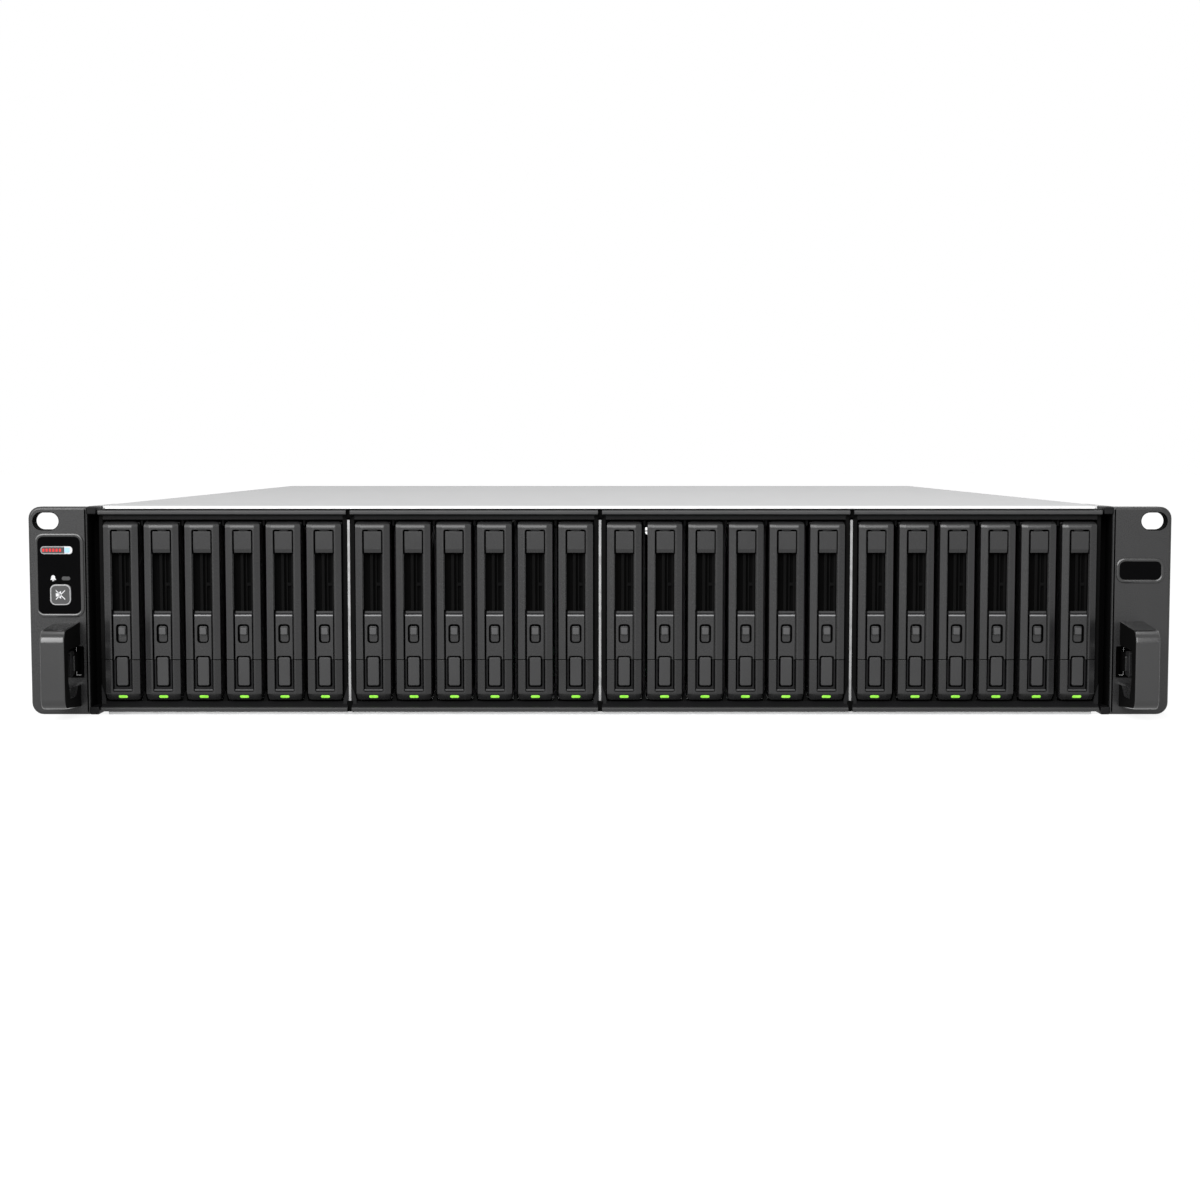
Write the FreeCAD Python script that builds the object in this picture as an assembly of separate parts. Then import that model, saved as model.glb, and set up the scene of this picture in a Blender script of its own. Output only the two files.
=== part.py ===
"""Rack shelf for twenty-four 2.5-inch drives, 2U high, as an assembly of separate pieces.

Frame while modelling: X to the right, Y from the front of the rack ears to the back, Z up from
the underside. When a piece is saved, the origin moves to the middle of the underside.
All sizes are in millimetres.
"""
import FreeCAD, Part
import math
import os

V = FreeCAD.Vector

# ---- chassis -------------------------------------------------------------------------------
RACK_WIDTH = 482.0          # across the ears, for a 19-inch rack
EAR_WIDTH = 25.0            # ear flange beside the bays
EAR_TO_WALL = 0.75          # the flange starts this far outside the side wall
BODY_WIDTH = RACK_WIDTH - 2 * (EAR_WIDTH + EAR_TO_WALL)
BODY_HEIGHT = 88.0          # two rack units
BODY_DEPTH = 692.0          # ear front to rear wall
SHEET = 1.2                 # steel sheet of chassis and cover
FRONT_LIP_SIDE = 6.75       # side wall to the end of the front lips
FRONT_LIP_Y = 0.8
FIXED_TOP_DEPTH = 195.0     # front roof panel, in front of the removable cover
COVER_GAP = 0.8
COVER_SKIRT = 9.0           # side flanges of the cover
COVER_TRAVEL = 40.0
REAR_FLANGE = 10.0
SEAT_GAP = 0.3              # between pieces that lie next to each other

# ---- drive bays ----------------------------------------------------------------------------
GROUPS = 4
TRAYS_PER_GROUP = 6
GROUP_SIDE = 2.69           # side wall to the outer bay frame's own width
GROUP_PITCH = (BODY_WIDTH - 2 * GROUP_SIDE) / GROUPS
GROUP_GAP = 1.7             # between two bay frames
TRAY_PITCH = (GROUP_PITCH - 3.35) / TRAYS_PER_GROUP
BAY_FRAME_DEPTH = 14.0
FRAME_TOP_Z = BODY_HEIGHT - 1.0
FRAME_TOP_LIP = 2.1         # height of the front lip of the top bar
FRAME_TOP_STEP = 3.0        # how far the rest of the top bar stands back
FRAME_BOTTOM_Z = 1.3
FRAME_BOTTOM_LIP = 1.7
FRAME_SLOPE = 4.0           # depth of the sloped part of the bottom bar
FRAME_CLEARANCE = 0.7       # frame to tray, above and below
POST_CLEARANCE = 0.45       # frame post to tray
CAGE_PLATE = 1.0
CAGE_END_Y = 118.0
DIVIDER_THICKNESS = 1.0
PARTITION_FRONT_Y = 3.0

# ---- drive tray ----------------------------------------------------------------------------
TRAY_WIDTH = TRAY_PITCH - 2.655
TRAY_BOTTOM_Z = 6.1
TRAY_TOP_Z = BODY_HEIGHT - 6.35
TRAY_HEIGHT = TRAY_TOP_Z - TRAY_BOTTOM_Z
SEAM_Z = 23.3               # joint between the lever and the fixed lower block
SEAM_GAP = 0.3
BEVEL_DEPTH = 2.4
BEVEL_TOP_Z = 8.9
TRAY_FRONT_DEPTH = 12.0
SLED_END_Y = 116.0
SLED_RAIL_WIDTH = 9.0
SLED_RAIL_HEIGHT = 2.3
SLED_BAR_LENGTH = 8.0
DRIVE_THICKNESS = 7.0
DRIVE_LENGTH = 100.2
DRIVE_HEIGHT = TRAY_HEIGHT - 5.7
LED_WIDTH = 3.7
LED_HEIGHT = 1.15
LED_CENTRE_Z = 7.55

# ---- recess, vent and controls on the tray front -------------------------------------------
RECESS_HALF_WIDTH = 4.25
RECESS_TOP_Z = TRAY_TOP_Z - 3.35
RECESS_DEPTH = 1.4
EDGE_BEVEL_WIDTH = 2.4
EDGE_BEVEL_DEPTH = 0.9
VENT_TOP_Z = TRAY_TOP_Z - 13.25
VENT_BOTTOM_Z = 43.4
VENT_RIB_WIDTH = 2.1
SLIDER_POCKET_WIDTH = 4.7
SLIDER_POCKET_HEIGHT = 7.8
SLIDER_POCKET_TOP_Z = 38.3
SLIDER_POCKET_DEPTH = 2.4
SLIDER_WIDTH = 3.5
SLIDER_HEIGHT = 3.4
SLIDER_TOP_Z = 37.3
BUTTON_WIDTH = 4.9
BUTTON_HEIGHT = 12.3
BUTTON_BOTTOM_Z = 12.2
BUTTON_DEPTH = 6.0
BUTTON_PLAY = 0.35
BUTTON_BEVEL = 0.8
LED_PROUD = 0.15

# ---- tray lever ----------------------------------------------------------------------------
NOSE_RADIUS = 2.65          # rounded top of the lever, centred on its pin
PIN_RADIUS = 0.9
PIN_CLEARANCE = 0.05
HOOK_WIDTH = 3.8
HOOK_SIDE_PLAY = 0.3
HOOK_UP = 1.7               # hook above and below the pin's axis
HOOK_DOWN = 2.0
NOSE_WALL = 1.1
HINGE_POCKET_DROP = 3.1

# ---- rack ears -----------------------------------------------------------------------------
EAR_OUTER = RACK_WIDTH / 2
EAR_INNER = EAR_OUTER - EAR_WIDTH
EAR_PLATE = 7.0
EAR_CORNER = 5.0
EAR_RECESS_DEPTH = 14.0
EAR_FLOOR = 1.5
EAR_FLOOR_INNER = EAR_INNER - 3.6
EAR_ARM_HEIGHT = 3.2
EAR_WEB = 1.4
EAR_WEB_END_Y = 62.0
SLOT_SPACING = RACK_WIDTH - 15.0
SLOT_LENGTH = 10.7
SLOT_HEIGHT = 7.2
SLOT_Z = BODY_HEIGHT - 6.1
HANDLE_OUTER = EAR_OUTER - 11.0
HANDLE_INNER = HANDLE_OUTER - 10.1
HANDLE_ROOT = 1.6           # how far the handle runs into the flange
HANDLE_REACH = 32.0
HANDLE_TOP_AT_EAR = 39.8
HANDLE_TOP_AT_FRONT = 37.6
HANDLE_BOTTOM_AT_EAR = 3.2
HANDLE_BOTTOM_AT_FRONT = 5.4
HANDLE_TOP_RADIUS = 5.5
HANDLE_BOTTOM_RADIUS = 4.2
GRIP_BAR = 8.0
GRIP_GAP_TOP = 29.0
GRIP_GAP_BOTTOM = 13.6
GRIP_GAP_CORNER = 2.0

# ---- status panel and name plate -----------------------------------------------------------
STATUS_CENTRE_X = EAR_OUTER - 12.9
STATUS_WIDTH = 18.0
STATUS_BOTTOM_Z = HANDLE_TOP_AT_EAR + 3.0
STATUS_TOP_Z = BODY_HEIGHT - 12.6
STATUS_RADIUS = 2.4
PLATE_CENTRE_X = EAR_OUTER - 13.1
PLATE_CENTRE_Z = BODY_HEIGHT - 26.9
PLATE_WIDTH = 18.0
PLATE_HEIGHT = 8.0
PLATE_RADIUS = 2.2
LENS_PROUD = 0.9
MUTE_SIZE = 8.8
MUTE_CENTRE_X = EAR_OUTER - 13.4
MUTE_CENTRE_Z = STATUS_BOTTOM_Z + 8.1
MUTE_CORNER = 1.6
MUTE_COLLAR = 1.0
MUTE_SEAT_Y = 3.2           # front wall of the ear at the button
MUTE_LENGTH = 6.0
MUTE_PROUD = 0.6
MUTE_PLAY = 0.2

# ---- rack latch ----------------------------------------------------------------------------
LATCH_THICKNESS = 1.2
LATCH_CENTRE_X = HANDLE_INNER + 2.1
LATCH_REACH = 13.0
LATCH_BOTTOM_Z = 16.6
LATCH_TOP_Z = 28.3
LATCH_PIN_Y = 22.0
LATCH_PIN_Z = 22.2
LATCH_PIN_RADIUS = 2.0
LATCH_TAIL = 5.0
LATCH_WINDOW_INNER = EAR_INNER + 2.6
LATCH_WINDOW_OUTER = HANDLE_OUTER - 3.6
LATCH_WINDOW_BOTTOM = 15.9
LATCH_WINDOW_TOP = 28.9
LATCH_PIN_END = 1.5
LATCH_BAR = 1.1
LATCH_BAR_INSET = 2.5
LATCH_BAR_DEPTH = 1.7
LATCH_TAPER = 1.4

# ---- backplane -----------------------------------------------------------------------------
BOARD_THICKNESS = 2.4
BOARD_GAP = 4.4             # cage end to board
CONNECTOR_WIDTH = 5.0
CONNECTOR_HEIGHT = 42.0
CONNECTOR_TO_DRIVE = 0.3
AIR_SLOT_WIDTH = 20.0
AIR_SLOT_HEIGHT = 22.0
EDGE_TO_WALL = 3.0

# ---- fans ----------------------------------------------------------------------------------
FAN_COUNT = 4
FAN_SIZE = BODY_HEIGHT - 8.0
FAN_DEPTH = 38.0
FAN_BORE = FAN_SIZE / 2 - 2.0
FAN_BORE_SIDES = 16
FAN_PITCH = 86.0
FAN_FRONT_Y = 205.0
FAN_HUB_RADIUS = 19.0
FAN_HUB_LENGTH = 26.0
FAN_BLADES = 7
FAN_BLADE_LENGTH = FAN_BORE - FAN_HUB_RADIUS - 2.0
FAN_BLADE_CHORD = 22.0
FAN_BLADE_THICKNESS = 1.4
FAN_BLADE_TWIST_DEG = 42.0
FAN_WALL = 1.5
FAN_WINDOW = FAN_SIZE - 8.0

# ---- power supplies ------------------------------------------------------------------------
PSU_COUNT = 2
PSU_WIDTH = 73.5
PSU_PITCH = (BODY_HEIGHT - 4.8) / PSU_COUNT
PSU_HEIGHT = PSU_PITCH - 1.6
PSU_LENGTH = 185.0
PSU_RIGHT_EDGE = BODY_WIDTH / 2 - 3.25
PSU_FIRST_Z = SHEET + SEAT_GAP
INLET_WIDTH = 27.0
INLET_HEIGHT = 19.0
INLET_DEPTH = 16.0
INLET_EDGE = 3.5
INLET_PIN_SETBACK = 7.0
INLET_CORNER = 4.0
INLET_PIN_WIDTH = 2.0
INLET_PIN_HEIGHT = 4.0
INLET_PIN_PLACES = ((-7.0, -2.0), (0.0, 3.5), (7.0, -2.0))   # from the inlet's middle
PSU_FAN_RADIUS = 15.5
PSU_FAN_EDGE = 4.0
PSU_FAN_DEPTH = 6.0
PSU_GUARD_BAR = 1.2
PSU_HANDLE_REACH = 26.0
PSU_HANDLE_BAR = 3.2
PSU_HANDLE_INSET = 3.0
PSU_HANDLE_FROM_FAN = 3.6
PSU_TAB_LENGTH = 14.0
PSU_TAB_HEIGHT = 12.0
PSU_TAB_TAPER = 3.0
PSU_TAB_THICKNESS = 2.5

# ---- expander module -----------------------------------------------------------------------
EXPANDER_LEFT = 9.25 - BODY_WIDTH / 2
EXPANDER_WIDTH = 150.0
EXPANDER_HEIGHT = PSU_HEIGHT
EXPANDER_LENGTH = 200.0
EXPANDER_BOTTOM = SHEET
EXPANDER_PORTS = 4
PORT_WIDTH = 22.0
PORT_HEIGHT = 12.0
PORT_DEPTH = 22.0
PORT_PITCH = 31.0
PORT_FIRST = 24.0
PORT_CAGE = 1.0
PORT_PROUD = 1.5

# ---- rear wall vents -----------------------------------------------------------------------
VENT_COLUMNS = 8
VENT_ROWS = 2
VENT_PITCH_X = 37.0
VENT_WIDTH = 30.0
VENT_PITCH_Z = 14.0
VENT_HEIGHT = 8.0

# ---- values that follow --------------------------------------------------------------------
HALF_WIDTH = BODY_WIDTH / 2
FRONT_LIP_HALF_WIDTH = HALF_WIDTH - FRONT_LIP_SIDE
HALF_TRAY = TRAY_WIDTH / 2
LEVER_DEPTH = 2 * NOSE_RADIUS
PIN_Y = NOSE_RADIUS
PIN_Z = TRAY_TOP_Z - NOSE_RADIUS
CARRIER_FACE_Y = LEVER_DEPTH + SEAT_GAP
DRIVE_START_Y = SLED_END_Y - DRIVE_LENGTH
DRIVE_BOTTOM_Z = TRAY_BOTTOM_Z + (TRAY_HEIGHT - DRIVE_HEIGHT) / 2
DRIVE_TOP_Z = DRIVE_BOTTOM_Z + DRIVE_HEIGHT
CAGE_START_Y = EAR_RECESS_DEPTH + EAR_FLOOR + SEAT_GAP
CAGE_FLOOR_TOP_Z = TRAY_BOTTOM_Z - FRAME_CLEARANCE
CAGE_ROOF_Z = TRAY_TOP_Z + FRAME_CLEARANCE
TRAY_GROUP_HALF = (TRAYS_PER_GROUP - 1) * TRAY_PITCH / 2 + HALF_TRAY
FRAME_HALF = (GROUP_PITCH - GROUP_GAP) / 2
BACKPLANE_Y = CAGE_END_Y + BOARD_GAP
ROOF_Z = BODY_HEIGHT - SHEET
WALL_TOP_Z = ROOF_Z - SEAT_GAP
WALL_START_Y = EAR_RECESS_DEPTH + EAR_FLOOR + SEAT_GAP
REAR_WALL_Y = BODY_DEPTH - SHEET


def box(x_low, x_high, y_low, y_high, z_low, z_high):
    """A block between two corners."""
    return Part.makeBox(x_high - x_low, y_high - y_low, z_high - z_low, V(x_low, y_low, z_low))


def side_profile(points, x_low, x_high):
    """A closed outline of (y, z) points, pushed along X."""
    loop = [V(x_low, y, z) for y, z in points]
    face = Part.Face(Part.makePolygon(loop + loop[:1]))
    return face.extrude(V(x_high - x_low, 0, 0))


def plan_profile(points, z_low, z_high):
    """A closed outline of (x, y) points, pushed along Z."""
    loop = [V(x, y, z_low) for x, y in points]
    face = Part.Face(Part.makePolygon(loop + loop[:1]))
    return face.extrude(V(0, 0, z_high - z_low))


def rounded_block(x_centre, z_centre, width, height, radius, y_low, y_high):
    """A block with a rounded front outline, pushed along Y."""
    block = box(x_centre - width / 2, x_centre + width / 2, y_low, y_high,
                z_centre - height / 2, z_centre + height / 2)
    edges = [e for e in block.Edges if abs(e.tangentAt(e.FirstParameter).y) > 0.9]
    return block.makeFillet(radius, edges)


def clipped_block(x_centre, z_centre, size, corner, y_low, y_high):
    """A square block with its four corners cut off, pushed along Y."""
    half = size / 2
    block = box(x_centre - half, x_centre + half, y_low, y_high, z_centre - half, z_centre + half)
    edges = [e for e in block.Edges if abs(e.tangentAt(e.FirstParameter).y) > 0.9]
    return block.makeChamfer(corner, edges)


def flat_sided_rod(x, z, y_low, y_high, radius, sides):
    """A prism along Y whose corners lie on a circle, with a flat facing up."""
    step = 2 * math.pi / sides
    rim = [V(x + radius * math.sin((i + 0.5) * step), y_low,
             z + radius * math.cos((i + 0.5) * step)) for i in range(sides)]
    return Part.Face(Part.makePolygon(rim + rim[:1])).extrude(V(0, y_high - y_low, 0))


def slot_cutter(x_centre, z_centre, length, height, y_low, y_high):
    """A slot with round ends along X, pushed along Y."""
    return rounded_block(x_centre, z_centre, length, height, height / 2 - 0.001, y_low, y_high)


def rod_x(x_low, x_high, y, z, radius):
    return Part.makeCylinder(radius, x_high - x_low, V(x_low, y, z), V(1, 0, 0))


def octagon_rod(x_low, x_high, y, z, flat_radius):
    """An eight-sided rod along X whose flats touch a circle."""
    half = flat_radius * math.tan(math.pi / 8)
    r = flat_radius
    return side_profile([(y - r, z - half), (y - half, z - r), (y + half, z - r), (y + r, z - half),
                         (y + r, z + half), (y + half, z + r), (y - half, z + r), (y - r, z + half)],
                        x_low, x_high)


def joined(solids):
    """One solid from pieces that meet."""
    return solids[0].fuse(solids[1:]).removeSplitter()


def mirrored(solid):
    return solid.mirror(V(0, 0, 0), V(1, 0, 0))


def save(name, solids):
    """Writes the solids of one node, with the origin at the middle of the underside."""
    moved = [s.copy() for s in solids]
    for solid in moved:
        solid.translate(V(0, -BODY_DEPTH / 2, 0))
    shape = moved[0] if len(moved) == 1 else Part.makeCompound(moved)
    shape.exportStep("parts/%s.step" % name)


def group_centres():
    return [(i - (GROUPS - 1) / 2) * GROUP_PITCH for i in range(GROUPS)]


def tray_centres():
    return [g + (i - (TRAYS_PER_GROUP - 1) / 2) * TRAY_PITCH
            for g in group_centres() for i in range(TRAYS_PER_GROUP)]


def divider_centres():
    return [g + (i - TRAYS_PER_GROUP / 2) * TRAY_PITCH
            for g in group_centres() for i in range(1, TRAYS_PER_GROUP)]


# ---- chassis and cover ---------------------------------------------------------------------
def base_tray():
    """Floor, side walls and rear wall, bent from one sheet."""
    floor = box(-HALF_WIDTH, HALF_WIDTH, WALL_START_Y, BODY_DEPTH, 0, SHEET)
    lip = box(-FRONT_LIP_HALF_WIDTH, FRONT_LIP_HALF_WIDTH, FRONT_LIP_Y, WALL_START_Y, 0, SHEET)
    wall = box(HALF_WIDTH - SHEET, HALF_WIDTH, WALL_START_Y, BODY_DEPTH, 0, WALL_TOP_Z)
    rear = box(-HALF_WIDTH, HALF_WIDTH, REAR_WALL_Y, BODY_DEPTH, 0, WALL_TOP_Z)
    flange = box(-HALF_WIDTH + SHEET, HALF_WIDTH - SHEET, BODY_DEPTH - REAR_FLANGE, BODY_DEPTH,
                 WALL_TOP_Z - SHEET, WALL_TOP_Z)
    shell = joined([floor, lip, wall, mirrored(wall), rear, flange])
    return shell.cut(rear_cutouts())


def rear_cutouts():
    """Openings of the rear wall: supplies, module and ventilation slots."""
    margin = SEAT_GAP
    y_low, y_high = REAR_WALL_Y - SHEET, BODY_DEPTH + SHEET
    cuts = [box(PSU_RIGHT_EDGE - PSU_WIDTH - margin, PSU_RIGHT_EDGE + margin, y_low, y_high,
                PSU_FIRST_Z + i * PSU_PITCH - margin,
                PSU_FIRST_Z + i * PSU_PITCH + PSU_HEIGHT + margin) for i in range(PSU_COUNT)]
    cuts.append(box(EXPANDER_LEFT - margin, EXPANDER_LEFT + EXPANDER_WIDTH + margin, y_low, y_high,
                    EXPANDER_BOTTOM - margin, EXPANDER_BOTTOM + EXPANDER_HEIGHT + margin))
    first_x = EXPANDER_LEFT + VENT_WIDTH / 2
    first_z = EXPANDER_BOTTOM + EXPANDER_HEIGHT + VENT_PITCH_Z
    for column in range(VENT_COLUMNS):
        for row in range(VENT_ROWS):
            x = first_x + column * VENT_PITCH_X
            z = first_z + row * VENT_PITCH_Z
            cuts.append(box(x - VENT_WIDTH / 2, x + VENT_WIDTH / 2, y_low, y_high,
                            z - VENT_HEIGHT / 2, z + VENT_HEIGHT / 2))
    return cuts


def front_roof():
    """Front roof panel over the drive bays, with a rail that the cover slides under."""
    half = HALF_WIDTH
    panel = box(-half, half, WALL_START_Y, FIXED_TOP_DEPTH, ROOF_Z, BODY_HEIGHT)
    lip = box(-FRONT_LIP_HALF_WIDTH, FRONT_LIP_HALF_WIDTH, FRONT_LIP_Y, WALL_START_Y,
              FRAME_TOP_Z + SEAT_GAP / 2, BODY_HEIGHT)
    return joined([panel, lip])


def cage_sheets():
    """Floor, roof, dividers and partitions that guide the trays."""
    end = HALF_WIDTH - SHEET
    back_y = BACKPLANE_Y + BOARD_THICKNESS
    plates = [box(-end, end, CAGE_START_Y, back_y, z, z + CAGE_PLATE)
              for z in (CAGE_FLOOR_TOP_Z - CAGE_PLATE, CAGE_ROOF_Z)]
    web = DIVIDER_THICKNESS / 2
    divider = box(-web, web, CAGE_START_Y, CAGE_END_Y, CAGE_FLOOR_TOP_Z, CAGE_ROOF_Z)
    partition = box(-web, web, PARTITION_FRONT_Y, CAGE_END_Y, CAGE_FLOOR_TOP_Z, CAGE_ROOF_Z)
    dividers = [divider.translated(V(x, 0, 0)) for x in divider_centres()]
    between = [x + GROUP_PITCH / 2 for x in group_centres()[:-1]]
    partitions = [partition.translated(V(x, 0, 0)) for x in between]
    return plates + dividers + partitions


def top_cover():
    """Removable rear cover with a skirt inside each side wall."""
    start, end = FIXED_TOP_DEPTH + COVER_GAP, BODY_DEPTH
    panel = box(-HALF_WIDTH, HALF_WIDTH, start, end, ROOF_Z, BODY_HEIGHT)
    inner = HALF_WIDTH - SHEET - SEAT_GAP
    skirt = box(inner - SHEET, inner, start, end - REAR_FLANGE - SHEET - COVER_TRAVEL,
                ROOF_Z - COVER_SKIRT, ROOF_Z)
    return joined([panel, skirt, mirrored(skirt)])


# ---- front ---------------------------------------------------------------------------------
def bay_frame(centre):
    """One moulded frame round six trays: top bar, bottom bar and two posts."""
    top_low = TRAY_TOP_Z + FRAME_CLEARANCE
    bottom_high = TRAY_BOTTOM_Z - FRAME_CLEARANCE
    lip_low = FRAME_TOP_Z - FRAME_TOP_LIP
    top = side_profile([(0, FRAME_TOP_Z), (BAY_FRAME_DEPTH, FRAME_TOP_Z), (BAY_FRAME_DEPTH, top_low),
                        (FRAME_TOP_STEP, top_low), (FRAME_TOP_STEP, lip_low), (0, lip_low)],
                       -FRAME_HALF, FRAME_HALF)
    bottom = side_profile([(0, FRAME_BOTTOM_Z), (0, FRAME_BOTTOM_Z + FRAME_BOTTOM_LIP),
                           (FRAME_SLOPE, bottom_high), (BAY_FRAME_DEPTH, bottom_high),
                           (BAY_FRAME_DEPTH, FRAME_BOTTOM_Z)], -FRAME_HALF, FRAME_HALF)
    post_inner = TRAY_GROUP_HALF + POST_CLEARANCE
    post = box(post_inner, FRAME_HALF, FRAME_TOP_STEP, BAY_FRAME_DEPTH, FRAME_BOTTOM_Z, FRAME_TOP_Z)
    return joined([top, bottom, post, mirrored(post)]).translated(V(centre, 0, 0))


def handle():
    """Pull handle of the right ear: a D-shaped loop seen from the side."""
    top, bottom = HANDLE_TOP_AT_FRONT, HANDLE_BOTTOM_AT_FRONT
    outer = side_profile([(HANDLE_ROOT, HANDLE_TOP_AT_EAR), (-HANDLE_REACH, top),
                          (-HANDLE_REACH, bottom), (HANDLE_ROOT, HANDLE_BOTTOM_AT_EAR)],
                         HANDLE_INNER, HANDLE_OUTER)

    def front_edge(solid, z):
        return [e for e in solid.Edges
                if all(abs(v.Y + HANDLE_REACH) < 0.01 and abs(v.Z - z) < 0.01 for v in e.Vertexes)]

    outer = outer.makeFillet(HANDLE_TOP_RADIUS, front_edge(outer, top))
    outer = outer.makeFillet(HANDLE_BOTTOM_RADIUS, front_edge(outer, bottom))
    gap = box(HANDLE_INNER - 1, HANDLE_OUTER + 1, -HANDLE_REACH + GRIP_BAR, 0,
              GRIP_GAP_BOTTOM, GRIP_GAP_TOP)
    inner_edges = [e for e in gap.Edges
                   if abs(e.tangentAt(e.FirstParameter).x) > 0.9
                   and all(v.Y < -1 for v in e.Vertexes)]
    return outer.cut(gap.makeChamfer(GRIP_GAP_CORNER, inner_edges))


def ear():
    """The right ear: flange with its rack slot, recess beside the bays, web and handle."""
    plate = box(EAR_INNER, EAR_OUTER, 0, EAR_PLATE, 0, BODY_HEIGHT)
    corners = [e for e in plate.Edges
               if abs(e.tangentAt(e.FirstParameter).y) > 0.9 and e.Vertexes[0].X > EAR_OUTER - 1]
    plate = plate.makeFillet(EAR_CORNER, corners)
    floor_end = EAR_RECESS_DEPTH + EAR_FLOOR
    wall = box(EAR_INNER, EAR_INNER + EAR_WEB, 0, floor_end, 0, BODY_HEIGHT)
    web = box(HALF_WIDTH, EAR_INNER + EAR_WEB, floor_end, EAR_WEB_END_Y, 0, BODY_HEIGHT)
    floor = box(EAR_FLOOR_INNER, EAR_INNER, EAR_RECESS_DEPTH, floor_end, 0, BODY_HEIGHT)
    arms = [box(EAR_FLOOR_INNER, EAR_INNER, 0, EAR_RECESS_DEPTH, z, z + EAR_ARM_HEIGHT)
            for z in (0, BODY_HEIGHT - EAR_ARM_HEIGHT)]
    solid = joined([plate, wall, web, floor, handle()] + arms)
    through = (-1, EAR_PLATE + 1)
    cuts = [slot_cutter(SLOT_SPACING / 2, SLOT_Z, SLOT_LENGTH, SLOT_HEIGHT, *through),
            box(LATCH_WINDOW_INNER, LATCH_WINDOW_OUTER, -1, EAR_PLATE + 1,
                LATCH_WINDOW_BOTTOM, LATCH_WINDOW_TOP)]
    return solid.cut(cuts)


def lens(x, z, width, height, radius):
    """Glossy window that lies on the face of the ear."""
    return rounded_block(x, z, width, height, radius, -LENS_PROUD, 0)


def left_ear():
    """The left ear and its status window, both with the opening of the mute button."""
    window = lens(-STATUS_CENTRE_X, (STATUS_BOTTOM_Z + STATUS_TOP_Z) / 2, STATUS_WIDTH,
                  STATUS_TOP_Z - STATUS_BOTTOM_Z, STATUS_RADIUS)
    opening = clipped_block(-MUTE_CENTRE_X, MUTE_CENTRE_Z, MUTE_SIZE + 2 * MUTE_PLAY, MUTE_CORNER,
                            -LENS_PROUD - 1, EAR_PLATE + 1)
    reach = MUTE_SIZE / 2 + MUTE_COLLAR + MUTE_PLAY
    seat = box(-MUTE_CENTRE_X - reach, -MUTE_CENTRE_X + reach, MUTE_SEAT_Y, EAR_PLATE + 1,
               MUTE_CENTRE_Z - reach, MUTE_CENTRE_Z + reach)
    return [mirrored(ear()).cut([opening, seat]), window.cut([opening])]


def right_ear():
    """The right ear and its name plate."""
    plate = lens(PLATE_CENTRE_X, PLATE_CENTRE_Z, PLATE_WIDTH, PLATE_HEIGHT, PLATE_RADIUS)
    return [ear(), plate]


def mute_button():
    """Square button with cut corners and a collar in its seat at the back of the ear."""
    cap = clipped_block(-MUTE_CENTRE_X, MUTE_CENTRE_Z, MUTE_SIZE, MUTE_CORNER,
                        -LENS_PROUD - MUTE_PROUD, MUTE_LENGTH)
    reach = MUTE_SIZE / 2 + MUTE_COLLAR
    collar = box(-MUTE_CENTRE_X - reach, -MUTE_CENTRE_X + reach, MUTE_SEAT_Y + SEAT_GAP, MUTE_LENGTH,
                 MUTE_CENTRE_Z - reach, MUTE_CENTRE_Z + reach)
    return joined([cap, collar])


def rack_latch():
    """Right latch: a finger plate in the handle gap that turns on a pin behind the ear."""
    x_low = LATCH_CENTRE_X - LATCH_THICKNESS / 2
    x_high = LATCH_CENTRE_X + LATCH_THICKNESS / 2
    outline = [(-LATCH_REACH, LATCH_BOTTOM_Z), (-LATCH_REACH, LATCH_TOP_Z),
               (0, LATCH_TOP_Z - LATCH_TAPER),
               (LATCH_PIN_Y + LATCH_TAIL, LATCH_PIN_Z + LATCH_TAIL),
               (LATCH_PIN_Y + LATCH_TAIL, LATCH_PIN_Z - LATCH_TAIL), (0, LATCH_BOTTOM_Z + LATCH_TAPER)]
    plate = side_profile(outline, x_low, x_high)
    bar_y = -LATCH_REACH + LATCH_BAR_INSET
    finger_bar = box(x_low - LATCH_BAR, x_low, bar_y, bar_y + LATCH_BAR_DEPTH,
                     LATCH_BOTTOM_Z + LATCH_BAR_INSET, LATCH_TOP_Z - LATCH_BAR_INSET)
    bore = octagon_rod(x_low - 1, x_high + 1, LATCH_PIN_Y, LATCH_PIN_Z,
                       LATCH_PIN_RADIUS + PIN_CLEARANCE)
    return joined([plate, finger_bar]).cut([bore])


def latch_pin():
    """Pin on the web of the ear that the right latch turns on."""
    return rod_x(EAR_INNER + EAR_WEB, LATCH_CENTRE_X + LATCH_THICKNESS / 2 + LATCH_PIN_END,
                 LATCH_PIN_Y, LATCH_PIN_Z, LATCH_PIN_RADIUS)


# ---- tray and lever, at the middle of the shelf --------------------------------------------
def edge_bevels(z_low, z_high):
    """Two wedges that bevel the upright front edges of a tray or lever."""
    wedges = []
    for side in (-1, 1):
        outline = [(side * HALF_TRAY, 0), (side * (HALF_TRAY - EDGE_BEVEL_WIDTH), 0),
                   (side * HALF_TRAY, EDGE_BEVEL_DEPTH)]
        wedges.append(plan_profile(outline, z_low - 1, z_high + 1))
    return wedges


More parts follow.
